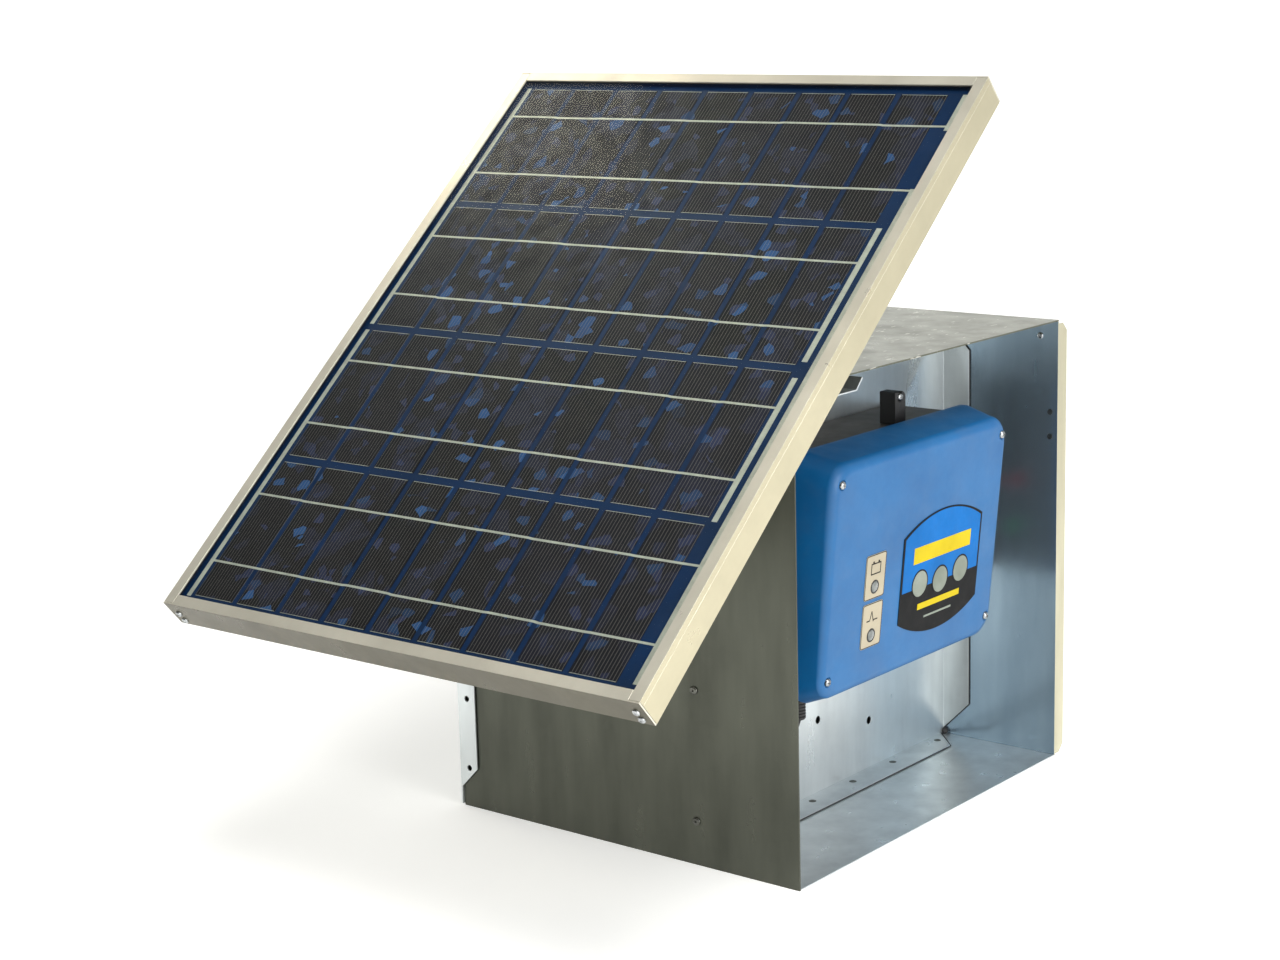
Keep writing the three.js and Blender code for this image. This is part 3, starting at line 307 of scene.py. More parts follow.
def moulded(name, slot, colour, dark, roughness=0.42, grain=0.5, depth=0.03, blotch=70, **more):
    """Moulded plastic or rubber with a spark-eroded grain, faint flow marks and dust."""
    surface = Surface(name, slot, **more)
    weathered(surface, rgb(colour), rgb(dark), roughness, 0.06, blotch, dust=rgb("8d8674"), dust_share=0.06)
    grained = surface.bump(surface.noise(grain, detail=2), depth, 0.5)
    surface.feed(Normal=surface.bump(surface.noise(blotch, detail=2), 0.3, 0.2, grained))
    return surface.material


def printed_film(name, slot, *tones):
    return grained(
        name, slot, tones, (0.5, 0.04), 40, (0.6, 2, 0.01, 0.3), "8b8270", 0.03,
        Specular_IOR_Level=0.12)


def lens_plastic():
    surface = Surface("lens", "lens", Coat_Weight=0.6, Coat_Roughness=0.05)
    rings = surface.patches(1.1, "Distance")
    weathered(surface, rgb("7d817e"), rgb("575b5a"), 0.16, 0.04, 5)
    surface.feed(Normal=surface.bump(rings, 0.08, 0.5))
    return surface.material


def circuit_board():
    surface = Surface("circuit_board", "circuit_board", Coat_Weight=0.3)
    tracks = surface.patches(7, "Distance", feature="DISTANCE_TO_EDGE")
    track = surface.remap(tracks, 0.03, 0.05, 1, 0)
    surface.feed(
        Base_Color=surface.mix(track, rgb("1c5a34"), rgb("2c7a48")), Roughness=0.4,
        Normal=surface.bump(track, 0.04, 0.6))
    return surface.material


def ferrite():
    surface = Surface("ferrite", "ferrite", Metallic=0.2)
    weathered(surface, rgb("3a3b3e"), rgb("26272a"), 0.65, 0.1, 12)
    layers = surface.node("TexWave", Vector=surface.place, Scale=330.0, Distortion=0.4).outputs["Fac"]
    surface.feed(Normal=surface.bump(layers, 0.08, 0.6))
    return surface.material


def copper_winding():
    surface = Surface("copper", "copper", Metallic=0.9, Coat_Weight=0.4)
    turns = surface.node(
        "TexWave", {"bands_direction": "Z"}, Vector=surface.place, Scale=260.0,
        Distortion=0.6).outputs["Fac"]
    surface.feed(
        Base_Color=surface.mix(turns, rgb("6d3015"), rgb("bb6a35")), Roughness=0.35,
        Normal=surface.bump(turns, 0.3, 0.8))
    return surface.material


GALVANISED = galvanised("galvanised_steel", "dde3e4", "c6ccce", "9aa0a0")
# Bluish, darker copy for the right wall's inner face: painted shade.
GALVANISED_SHADED_INNER = galvanised("galvanised_inner_painted_shade", "a6bac9", "91a6b6", "70828f", gloss=0.17)
# Darker olive copy for the top sheet: painted shade.
GALVANISED_TOP_SHADED = galvanised("galvanised_top_painted_shade", "747666", "626457", "505245", dashes=0.6)
# Cream copy for the right wall's faces towards -Y: painted warm light.
GALVANISED_LIT_EDGE = galvanised("galvanised_edge_painted_light", "d2cdb4", "bfbaa2", "a09b86", gloss=0.4)
# Dark olive copy for the left wall's outer face, which lies under the panel: painted shade.
GALVANISED_SHADED_OUTER = galvanised("galvanised_outer_painted_shade", "5a5c53", "4b4d45", "3c3e38")
ZINC = zinc_fastener("zinc_fastener", "c6cacb", "9b9ea0")
# Darker zinc copy for the rivets on the shaded left wall: painted shade.
ZINC_SHADED = zinc_fastener("zinc_painted_shade", "6f706a", "4c4d49")
ALUMINIUM_ALONG = aluminium("aluminium_along_slope", (0.02, 1, 1))
ALUMINIUM_ACROSS = aluminium("aluminium_across_slope", (1, 0.02, 1))
# Cream copy for the side members' outer faces: painted warm light.
ALUMINIUM_LIT_SIDE = aluminium("aluminium_side_painted_light", (0.02, 1, 1), "c4bca0", "b3ac92")
# Dark olive copy for the end members' outer faces: painted shade.
ALUMINIUM_SHADED_END = aluminium("aluminium_end_painted_shade", (1, 0.02, 1), "5c5847", "4e4a3b")
CELLS = solar_cells()
BACKSHEET = grained(
    "backsheet", "solar_cells", ("0a2f55", "082848"), (0.35, 0.06), 60, (1.2, 1, 0.02, 0.4),
    Specular_IOR_Level=0.4)
REAR_FILM = grained(
    "rear_film", "solar_cells", ("d9d8d0", "c3c2b8"), (0.5, 0.08), 90, (3, 3, 0.05, 0.4), "8f8770", 0.3)
RIBBON = grained(
    "tinned_ribbon", "solar_cells", ("f0ecd2", "d8d3bb"), (0.4, 0.08), 8, (2.5, 3, 0.05, 0.6),
    Metallic=0.45)
GLASS = panel_glass()
# A much darker copy of the galvanised finish for the two punched marks on the right wall.
DARK_MARK_FINISH = galvanised("galvanised_darkened", "4d5152", "3a3d3e", "2b2d2e")
# The seal finish also serves for the dark beads of painted shadow along the partition's flanges.
SEAL_AND_SHADOW_BEAD = moulded("seal", "rubber", "101113", "1b1b1c", 0.6, depth=0.05)
BLUE = moulded("blue_plastic", "blue_plastic", "065f98", "05548a", 0.42, grain=0.7, depth=0.025)
BLACK = moulded("black_plastic", "black_plastic", "1d1d1e", "131314", 0.42, grain=0.6, depth=0.04)
HOUSING = moulded("housing_plastic", "black_plastic", "4b4642", "3b3734", 0.5, grain=0.7, depth=0.04)
RUBBER = moulded("rubber", "rubber", "1f1f1f", "161616", 0.7, grain=0.4, depth=0.04)
RED = moulded("red_plastic", "red_plastic", "b5121c", "8f0d16", 0.32, blotch=25)
GREEN = moulded("green_plastic", "green_plastic", "1f7a41", "175f33", 0.32, blotch=25)
CABLE = moulded("black_cable", "black_cable", "17171a", "0f0f11", 0.45, grain=0.9, blotch=30)
RED_CABLE = moulded("red_cable", "red_plastic", "a3121a", "7e0d14", 0.45, grain=0.9, blotch=30)
BATTERY = moulded("battery_plastic", "battery_plastic", "2d2f33", "232529", 0.5, grain=0.8, depth=0.06)
SLEEVE = moulded("capacitor_sleeve", "capacitor_sleeve", "20242c", "171a20", 0.25, grain=1.5, blotch=40)
BEIGE = printed_film("beige_film", "beige_film", "b3a993", "a69d88")
INK = printed_film("film_ink", "beige_film", "1c1b19", "141312")
LABEL_BLUE = printed_film("label_blue", "label_film", "0068b4", "005ca0")
LABEL_BLACK = printed_film("label_black", "label_film", "060709", "0a0b0d")
LABEL_YELLOW = printed_film("label_yellow", "label_film", "c9b314", "bba50e")
LABEL_GREY = printed_film("label_grey", "label_film", "8d948a", "767d72")
LENS = lens_plastic()
BOARD = circuit_board()
FERRITE = ferrite()
COPPER = copper_winding()
LEAD = grained(
    "lead_metal", "lead_metal", ("9a9c9d", "6e7071"), (0.48, 0.1), 7, (1.1, 4, 0.12, 0.6), "c9ccc4", 0.3,
    Metallic=0.85)


# ---- Shapes ----


def add_box(bm, low, high):
    size = Vector(high) - Vector(low)
    made = bmesh.ops.create_cube(bm, size=1)["verts"]
    bmesh.ops.scale(bm, vec=size, verts=made)
    bmesh.ops.translate(bm, vec=Vector(low) + size / 2, verts=made)


def add_prism(bm, outline, start, end, axis="Z", place=None):
    """A prism of an outline whose points are (y, z), (x, z) or (x, y) for axis X, Y or Z."""
    order = {"X": (2, 0, 1), "Y": (0, 2, 1), "Z": (0, 1, 2)}[axis]
    place = place or Matrix.Identity(4)
    rings = []
    for height in (start, end):
        points = [(*point, height) for point in outline]
        rings.append([bm.verts.new(place @ Vector([p[i] for i in order])) for p in points])
    for ring in rings:
        bm.faces.new(ring)
    for i in range(len(outline)):
        bm.faces.new((rings[0][i - 1], rings[0][i], rings[1][i], rings[1][i - 1]))


def add_turned(bm, profile, place=None, segments=32):
    """A turned shape from (radius, height) points about +Z, set in its place."""
    place = place or Matrix.Identity(4)
    rings = []
    for radius, height in profile:
        count = segments if radius > 0 else 1
        angles = [2 * math.pi * i / count for i in range(count)]
        rings.append([
            bm.verts.new(place @ Vector((radius * math.cos(a), radius * math.sin(a), height)))
            for a in angles])
    for lower, upper in zip(rings, rings[1:]):
        for i in range(segments):
            j = (i + 1) % segments
            corners = [lower[i % len(lower)], lower[j % len(lower)],
                       upper[j % len(upper)], upper[i % len(upper)]]
            corners = list(dict.fromkeys(corners))
            if len(corners) > 2:
                bm.faces.new(corners)


def arc(x, y, radius, start, end, steps):
    """Points on an arc, its angles in degrees."""
    angles = [math.radians(start + (end - start) * i / steps) for i in range(steps + 1)]
    return [(x + radius * math.cos(a), y + radius * math.sin(a)) for a in angles]


def bar(left, low, right, high):
    """The outline of an upright rectangle."""
    return [(left, low), (right, low), (right, high), (left, high)]


def rounded(width, height, radius, x=0, y=0, steps=6):
    """The outline of a rectangle with round corners."""
    points = []
    for i, (side, end) in enumerate(((1, 1), (-1, 1), (-1, -1), (1, -1))):
        centre = (x + side * (width / 2 - radius), y + end * (height / 2 - radius))
        points += arc(*centre, radius, 90 * i, 90 * i + 90, steps)
    return points


def towards(direction, origin):
    """A place whose +Z points in a direction."""
    turn = UP.rotation_difference(Vector(direction)).to_matrix().to_4x4()
    return Matrix.Translation(origin) @ turn


def as_object(name, bm):
    bmesh.ops.recalc_face_normals(bm, faces=bm.faces)
    mesh = bpy.data.meshes.new(name)
    bm.to_mesh(mesh)
    bm.free()
    made = bpy.data.objects.new(name, mesh)
    scene.collection.objects.link(made)
    return made


def carve(bm, cutter):
    """The first shape less the second."""
    base = as_object("carved", bm)
    tool = as_object("carver", cutter)
    modifier = base.modifiers.new("carve", "BOOLEAN")
    modifier.operation = "DIFFERENCE"
    modifier.solver = "EXACT"
    modifier.object = tool
    done = base.evaluated_get(bpy.context.evaluated_depsgraph_get()).to_mesh()
    result = bmesh.new()
    result.from_mesh(done)
    for spare in (base, tool):
        bpy.data.objects.remove(spare)
    return result


def piece(name, bm, material, body="box", place=None, bevel=0.0, angle=30, replaces=()):
    """Makes an object of a shape in millimetres, eases its edges and attaches it to its body."""
    bmesh.ops.scale(bm, vec=(MM, MM, MM), verts=bm.verts)
    made = as_object(name, bm)
    made.data.shade_smooth()
    made.data.set_sharp_from_angle(angle=math.radians(angle))
    if place is not None:
        made.matrix_world = place
    if bevel:
        modifier = made.modifiers.new("bevel", "BEVEL")
        modifier.width = bevel * MM
        modifier.segments = 2
        modifier.limit_method = "ANGLE"
        modifier.angle_limit = math.radians(angle)
        modifier.harden_normals = True
    made.data.materials.append(material)
    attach(made, body)
    if replaces:
        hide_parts(*replaces)
    return made


def node_shape(node, place=None):
    """A CAD node's shape in millimetres, its flat faces merged, in the axes of a place."""
    bm = bmesh.new()
    bm.from_mesh(frame["nodes"][node].data)
    bmesh.ops.remove_doubles(bm, verts=bm.verts, dist=1e-6)
    if place is not None:
        bm.transform(place.inverted())
    bmesh.ops.scale(bm, vec=(1 / MM,) * 3, verts=bm.verts)
    bmesh.ops.dissolve_limit(bm, angle_limit=math.radians(0.3), verts=bm.verts, edges=bm.edges)
    return bm


def refine(node, material, bevel=0.25, place=None, cutter=None, angle=30):
    """Shows a CAD node as a copy with eased edges, and with what a cutter takes away."""
    bm = node_shape(node, place)
    if cutter is not None:
        bm = carve(bm, cutter)
    body = frame["nodes"][node]["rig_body"]
    return piece(f"{node}_finished", bm, material, body, place, bevel, angle, replaces=(node,))


def recoat(made, material, direction):
    """Gives the faces that look one way, in the piece's own axes, another finish: this is how painted light
    and painted shade go onto faces by the way they face.
    """
    made.data.materials.append(material)
    for face in made.data.polygons:
        if face.normal.dot(Vector(direction)) > 0.9:
            face.material_index = len(made.data.materials) - 1
    return made


# ---- Leads ----

LEAD_DIAMETER = 4.8
GLAND_END = 146.7
CLAMP_MIDDLE = 200.1
LEAD_ROUTES = {
    "positive": (RED_CABLE, [
        (-136.3, -136, GLAND_END), (-136.3, -136, 130), (-138, -129, 108), (-144.1, -112, 87),
        (-152.7, -90, 77.5), (-152.7, -70, 77), (-152.7, -48, 79), (-148, -33, 96), (-120, -27, 140),
        (-60, -28, 178), (10, -32, 192), (50, -34, 198.5), (75, -33.8, CLAMP_MIDDLE),
        (84.9, -29.7, CLAMP_MIDDLE), (89, -19.8, CLAMP_MIDDLE), (89, -16.8, CLAMP_MIDDLE),
    ]),
    "negative": (CABLE, [
        (-130.7, -136, GLAND_END), (-130.7, -136, 130), (-132.4, -129, 108), (-138.5, -112, 87),
        (-147.3, -90, 77.5), (-147.3, -70, 77), (-147.3, -50, 79), (-143, -38, 96), (-134, -35, 135),
        (-115, -32.5, 168), (-104.5, -31.8, 184), (-103, -28, 196.3),
        (-103, -18.8, CLAMP_MIDDLE), (-103, -16.8, CLAMP_MIDDLE),
    ]),
}
LEAD_SAMPLES = 12


def smooth_path(points):
    """Samples of the centripetal Catmull-Rom curve through the points."""
    points = [Vector(p) for p in points]
    points = [2 * points[0] - points[1], *points, 2 * points[-1] - points[-2]]
    samples = []
    for p0, p1, p2, p3 in zip(points, points[1:], points[2:], points[3:]):
        t0, t1 = 0.0, (p1 - p0).length ** 0.5
        t2 = t1 + (p2 - p1).length ** 0.5
        t3 = t2 + (p3 - p2).length ** 0.5
        for i in range(LEAD_SAMPLES):
            t = t1 + (t2 - t1) * i / LEAD_SAMPLES
            a1 = p0.lerp(p1, (t - t0) / (t1 - t0))
            a2 = p1.lerp(p2, (t - t1) / (t2 - t1))
            a3 = p2.lerp(p3, (t - t2) / (t3 - t2))
            b1 = a1.lerp(a2, (t - t0) / (t2 - t0))
            b2 = a2.lerp(a3, (t - t1) / (t3 - t1))
            samples.append(b1.lerp(b2, (t - t1) / (t2 - t1)))
    return [*samples, points[-2]]


def make_lead(pole, material, route):
    path = [point * MM for point in smooth_path(route)]
    curve = bpy.data.curves.new(f"lead_wire_{pole}", "CURVE")
    curve.dimensions = "3D"
    curve.bevel_depth = LEAD_DIAMETER * MM / 2
    curve.bevel_resolution = 4
    curve.use_fill_caps = True
    spline = curve.splines.new("POLY")
    spline.points.add(len(path) - 1)
    for point, place in zip(spline.points, path):
        point.co = (*place, 1)
    spline.use_smooth = True
    wire = bpy.data.objects.new(f"lead_wire_{pole}", curve)
    scene.collection.objects.link(wire)
    curve.materials.append(material)
    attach(wire, "box")
    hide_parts(f"lead_{pole}")
    length = sum((b - a).length for a, b in zip(path, path[1:]))
    return length


for pole, (material, route) in LEAD_ROUTES.items():
    print(f"lead_{pole} is {make_lead(pole, material, route):.3f} m long")


# ---- Stage ----

FLOOR_REACH = 6.0
WALL_RADIUS = 1.5
WALL_HEIGHT = 5.0


def backdrop():
    """A pale floor that curves up into a wall behind the object."""
    surface = Surface(
        "backdrop_paper", Roughness=0.9, Specular_IOR_Level=0.1,
        Emission_Color=rgb("ffffff"), Emission_Strength=0.4)
    surface.feed(Base_Color=surface.mix(
        surface.remap(surface.noise(900, detail=2), 0.3, 0.7, 0, 0.3), rgb("f4f4f2"), rgb("efefec")))
    section = [(-FLOOR_REACH, 0)]
    section += [(FLOOR_REACH / 2 + a, WALL_RADIUS + b) for a, b in arc(0, 0, WALL_RADIUS, -90, 0, 24)]
    section.append((FLOOR_REACH / 2 + WALL_RADIUS, WALL_HEIGHT))
    bm = bmesh.new()
    rows = [
        [bm.verts.new((side * FLOOR_REACH, along, high)) for along, high in section]
        for side in (-1, 1)]
    for i in range(len(section) - 1):
        bm.faces.new((rows[0][i], rows[1][i], rows[1][i + 1], rows[0][i + 1]))
    made = as_object("backdrop", bm)
    made.data.shade_smooth()
    made.data.materials.append(surface.material)
    made.matrix_world = Matrix.Rotation(CAMERA_AZIMUTH, 4, "Z")


SOFT_WHITE = (1.0, 0.99, 0.97)
WARM_WHITE = (1.0, 0.9, 0.7)


def area_light(name, place, target, size, power, colour=SOFT_WHITE):
    light = bpy.data.lights.new(name, "AREA")
    light.shape = "RECTANGLE"
    light.size, light.size_y = size
    light.energy = power
    light.color = colour
    made = bpy.data.objects.new(name, light)
    scene.collection.objects.link(made)
    aim = Vector(target) - Vector(place)
    made.matrix_world = Matrix.Translation(place) @ aim.to_track_quat("-Z", "Y").to_matrix().to_4x4()


SKY_FRONT = (0.1, -0.95, 0.05)
SKY_BRIGHT = (0.95, 0.97, 1.0, 1)
SKY_DARK = (0.11, 0.11, 0.1, 1)


def sky():
    """A soft surround, bright in front of the object and dark behind and overhead."""
    world = bpy.data.worlds.new("sky")
    scene.world = world
    world.use_nodes = True
    nodes, links = world.node_tree.nodes, world.node_tree.links
    coords = nodes.new("ShaderNodeTexCoord")
    frontness = nodes.new("ShaderNodeVectorMath")
    frontness.operation = "DOT_PRODUCT"
    frontness.inputs[1].default_value = SKY_FRONT
    ramp = nodes.new("ShaderNodeValToRGB")
    ramp.color_ramp.interpolation = "EASE"
    ramp.color_ramp.elements[0].color = SKY_DARK
    ramp.color_ramp.elements[1].color = SKY_BRIGHT
    links.new(coords.outputs["Generated"], frontness.inputs[0])
    links.new(frontness.outputs["Value"], ramp.inputs[0])
    links.new(ramp.outputs[0], nodes["Background"].inputs["Color"])


backdrop()
sky()
area_light("key", (-0.9, -3.9, 1.3), (0, 0, 0.25), (2.2, 2.2), 92)
area_light("top_left", (-1.0, -1.0, 3.2), (0, 0, 0.3), (1.5, 1.5), 75)
area_light("left", (-3.0, -3.0, 1.1), (0, 0, 0.3), (1.6, 1.6), 14)
area_light("rear_high", (0.25, 2.4, 3.0), (0, 0, 0.5), (0.7, 0.7), 10, WARM_WHITE)


# ---- Box ----

for node in ("floor_sheet", "partition", "rear_cover", "top_stiffener"):
    refine(node, GALVANISED, bevel=0.3)
# The right wall's faces towards -Y get the cream copy of the finish: painted light.
right_wall = recoat(refine("right_wall", GALVANISED, bevel=0.3), GALVANISED_LIT_EDGE, (0, -1, 0))
# Its inner face, towards -X, gets the bluish, darker copy: painted shade.
recoat(right_wall, GALVANISED_SHADED_INNER, (-1, 0, 0))
# The left wall's outer face gets the dark olive copy: painted shade.
refine("left_wall", GALVANISED_SHADED_OUTER, bevel=0.3)
# The top sheet gets the darker olive copy: painted shade.
refine("top_sheet", GALVANISED_TOP_SHADED, bevel=0.3)
refine("lead_grommet", RUBBER, bevel=0.3, angle=40)

SHEET = 1.5
SHEET_GAP = 0.3
RIVET_HEAD = 4.1
RIVET_STEM = 1.25
WALL_RIVETS = 4


def add_rivet(bm, place, radius=RIVET_HEAD):
    """A blind rivet's head: a low dome with a sunk stem in its middle."""
    rim = [(radius, -0.4), (radius, 0.25)]
    dome = [(RIVET_STEM + (radius - RIVET_STEM) * math.cos(a), 0.25 + 1.0 * math.sin(a))
            for a in (math.radians(d) for d in (15, 35, 60, 80))]
    well = [(RIVET_STEM, 1.2), (RIVET_STEM, 0.2), (0.7, -0.1), (0, -0.15)]
    add_turned(bm, [(0, -0.4), *rim, *dome, *well], place, 28)


def wall_rivets():
    """Heads on the left wall's outer face, over the rivets of the frame, in a darker zinc with painted
    shade, as the wall lies in the panel's shade.
    """
    left = node_box("left_wall")[0].x
    for i in range(1, WALL_RIVETS + 1):
        low, high = node_box(f"wall_rivet_{i}")
        centre = (low + high) / 2
        refine(f"wall_rivet_{i}", ZINC_SHADED, bevel=0.1, angle=40)
        bm = bmesh.new()
        add_rivet(bm, towards((-1, 0, 0), (left - 0.5, centre.y, centre.z)))
        piece(f"rivet_head_{i}", bm, ZINC_SHADED, angle=50)


wall_rivets()

RIGHT_RIVETS = [(-181.5, 434), (-88, 402), (-88, 284), (-88, 166), (-88, 42)]
INNER_RIVET_HEAD = 3.4
WALL_MARKS = [(-193, 358), (-193, 333)]
MARK_PROFILE = [(0, 0.1), (1.4, 0.15), (1.9, 0.45), (2.5, 0.35), (3.1, 0)]
SPOT_WELDS = [-34, 36.5, 109.5, 195]
SPOT_WELD_Y = -81
SPOT_WELD_PROFILE = [(0, 0.12), (1.6, 0.15), (2.4, 0.4), (3.0, 0.35), (3.8, 0.02)]


def right_wall_details():
    """Rivets through the right wall, and the two punched marks by its front edge."""
    wall_right = node_box("top_sheet")[1].x
    inner = wall_right - SHEET
    rivets = bmesh.new()
    for y, z in RIGHT_RIVETS:
        add_rivet(rivets, towards((1, 0, 0), (wall_right + 0.2, y, z)))
    add_rivet(rivets, towards((-1, 0, 0), (inner - 0.2, *RIGHT_RIVETS[0])), INNER_RIVET_HEAD)
    piece("right_wall_rivets", rivets, ZINC, angle=50)
    marks = bmesh.new()
    for y, z in WALL_MARKS:
        add_turned(marks, MARK_PROFILE, towards((-1, 0, 0), (inner, y, z)), 20)
    piece("right_wall_marks", marks, DARK_MARK_FINISH, angle=60)


def spot_welds():
    """Shallow dimples with a raised ring, in a row along the partition's floor flange."""
    bm = bmesh.new()
    flange_top = node_box("floor_sheet")[1].z + SHEET_GAP + SHEET
    for x in SPOT_WELDS:
        place = Matrix.Translation((x, SPOT_WELD_Y, flange_top))
        add_turned(bm, SPOT_WELD_PROFILE, place, 24)
    # The welds take the left wall's dark finish, which holds painted shade, so the dimples read darker.
    piece("spot_welds", bm, GALVANISED_SHADED_OUTER, angle=60)


# Sizes of the dark beads and the notch of painted shadow by the partition's flanges.
WALL_SHADOW_BEAD = 0.8
FLOOR_SHADOW_BEAD = 0.2
FLANGE_LOW = 8
FLANGE_HIGH = 443
FLANGE_CORNER = 6
SHADOW_NOTCH_PROFILE = [(0, 3), (2.4, 2.6), (3.4, 1.4), (3.2, 0), (0, -0.4)]


def add_shadow_bead(bm, points, low, high, axis, width):
    """A thin bead along open points, in front of an edge, as slim quadrilaterals end to end; here a dark
    bead of painted shadow.
    """
    for (a0, b0), (a1, b1) in zip(points, points[1:]):
        across = Vector((b0 - b1, a1 - a0)).normalized() * width
        outline = [(a0, b0), (a1, b1), (a1 + across.x, b1 + across.y), (a0 + across.x, b0 + across.y)]
        add_prism(bm, outline, low, high, axis)


def flange_shadow_beads():
    """Painted shadow: dark beads along the free edges of two of the partition's flanges, where the gaps lie
    in shade, and a dark corner notch, where the corner lies in shade.
    """
    low, high = node_box("partition")
    reach = high.x
    bm = bmesh.new()
    fold, free = high.y - SHEET, low.y
    drop = fold - free
    upright = [
        (fold, FLANGE_LOW), (free, FLANGE_LOW + drop), (free, FLANGE_HIGH - drop), (fold, FLANGE_HIGH)]
    add_shadow_bead(bm, upright, reach - SHEET * 0.7, reach, "X", WALL_SHADOW_BEAD)
    corner = reach - FLANGE_CORNER
    floor = [(corner, fold), (corner - drop, free), (drop - corner, free), (-corner, fold)]
    add_shadow_bead(bm, floor, low.z, low.z + SHEET * 0.6, "Z", FLOOR_SHADOW_BEAD)
    notch = towards((-1, -1, 1), (reach - 2.2, fold - 1.6, low.z + 2.4))
    add_turned(bm, SHADOW_NOTCH_PROFILE, notch, 18)
    piece("flange_shadow_beads", bm, SEAL_AND_SHADOW_BEAD)


right_wall_details()
spot_welds()
flange_shadow_beads()


# ---- Hinge ----

for side in ("front", "rear"):
    refine(f"base_bracket_{side}", GALVANISED, bevel=0.4)
    refine(f"pivot_bolt_{side}", ZINC, bevel=0.3, angle=40)
    refine(f"wing_nut_{side}", ZINC, bevel=0.5, angle=40)


# ---- Panel ----

HINGE = Vector(next(j["pos_m"] for j in frame["joints"] if j["name"] == "panel_tilt"))
PANEL_TILT = math.radians(40.94)
PANEL = Matrix.Translation(HINGE) @ Matrix.Rotation(-PANEL_TILT, 4, "Y")

PANEL_LOW_U = -373.7
PANEL_LENGTH = 670
PANEL_WIDTH = 540
FRONT_W = 55.2
BACK_W = 25.2
FRAME_WALL = 1.6
FRAME_LIP = 11
GLASS_TOP_W = 53.3
GLASS_LOW_W = 50.1
SHEET_LOW_W = 48.8
HALF_WIDTH = PANEL_WIDTH / 2

CELL_WIDTH = 48.5
CELL_PITCH = 54.1
FIRST_CELL_V = HALF_WIDTH - 24.2
COLUMNS = 9
CELL_ROWS = [(16.5, 170), (177.5, 330), (337.5, 490), (497.5, 651.5)]
BUSBAR_INSET = 38.5
BUSBAR_WIDTH = 2.2
CELL_LOW_W = 49.75
CELL_TOP_W = 49.95
BUSBAR_TOP_W = 50.05

GROOVE_DEPTH = 0.35
GROOVE_FROM_FRONT = (6.1, 5.5)
SLOT_LENGTH = 14
SLOT_WIDTH = 6.5
SLOT_RADIUS = 3.2
SLOT_INSET = 14
SLOT_SHARES = (0.2, 0.38, 0.62, 0.8)


def frame_groove(side):
    """Cutter for the fine line that runs along a side member's outer face, and its mounting slots."""
    bm = bmesh.new()
    outer = side * HALF_WIDTH
    low, high = sorted((outer - side * GROOVE_DEPTH, outer + side * 1))
    bottom, top = (FRONT_W - depth for depth in GROOVE_FROM_FRONT)
    add_box(bm, (PANEL_LOW_U - 5, low, bottom), (PANEL_LOW_U + PANEL_LENGTH + 5, high, top))
    for share in SLOT_SHARES:
        u = PANEL_LOW_U + PANEL_LENGTH * share
        slot = rounded(SLOT_LENGTH, SLOT_WIDTH, SLOT_RADIUS, u, outer - side * SLOT_INSET)
        add_prism(bm, slot, BACK_W - 1, BACK_W + FRAME_WALL + 1)
    return bm


def panel_frame():
    for side, place in ((-1, "front"), (1, "rear")):
        member = refine(f"frame_side_{place}", ALUMINIUM_ALONG, 0.35, PANEL, frame_groove(side))
        # Their outer faces get the cream copy of the aluminium: painted warm light.
        recoat(member, ALUMINIUM_LIT_SIDE, (0, side, 0))
        refine(f"panel_bracket_{place}", GALVANISED, 0.4, PANEL)
    for end in ("low", "high"):
        outward = (-1 if end == "low" else 1, 0, 0)
        # The end members' outer faces get the dark olive copy: painted shade.
        recoat(refine(f"frame_end_{end}", ALUMINIUM_ACROSS, 0.35, PANEL), ALUMINIUM_SHADED_END, outward)
    refine("cross_rail", ALUMINIUM_ACROSS, 0.4, PANEL)


def laminate():
    """Deep blue sheet under the cells, with the off-white film behind it."""
    inset = FRAME_WALL + 0.4
    low_u, high_u = PANEL_LOW_U + inset, PANEL_LOW_U + PANEL_LENGTH - inset
    reach = HALF_WIDTH - inset
    for name, material, low, high, nodes in (
            ("rear_film", REAR_FILM, SHEET_LOW_W, SHEET_LOW_W + 0.3, ()),
            ("backsheet", BACKSHEET, SHEET_LOW_W + 0.35, CELL_LOW_W - 0.02, ("cell_sheet",))):
        bm = bmesh.new()
        add_box(bm, (low_u, -reach, low), (high_u, reach, high))
        piece(name, bm, material, "panel", PANEL, replaces=nodes)


def cells():
    chance = random.Random(4)
    bm = bmesh.new()
    tone = bm.faces.layers.float.new("tone")
    for start, end in CELL_ROWS:
        for column in range(COLUMNS):
            v = FIRST_CELL_V - column * CELL_PITCH
            known = set(bm.faces)
            add_box(bm, (PANEL_LOW_U + start, v - CELL_WIDTH, CELL_LOW_W),
                    (PANEL_LOW_U + end, v, CELL_TOP_W))
            value = chance.random()
            for face in set(bm.faces) - known:
                face[tone] = value
    piece("solar_cells", bm, CELLS, "panel", PANEL)


def add_strip(bm, points, width, low, high):
    """A flat ribbon along (u, v) points that run mostly along v."""
    near = [(u - width / 2, v) for u, v in points]
    far = [(u + width / 2, v) for u, v in reversed(points)]
    add_prism(bm, near + far, low, high)


FIRST_BUS_X = 15
LAST_BUS_X = {"outer": 524, "inner": 513.5}
BUSBAR_SHIFT = 0.45
BUS_RIBBONS = [
    (15, 20, 337.5, 652.5), (15, 20, 15, 330), (520.5, 525.5, 18, 538), (520.5, 525.5, 608, 652),
    (509, 514.5, 341.5, 491.5), (509, 514.5, 174, 324)]


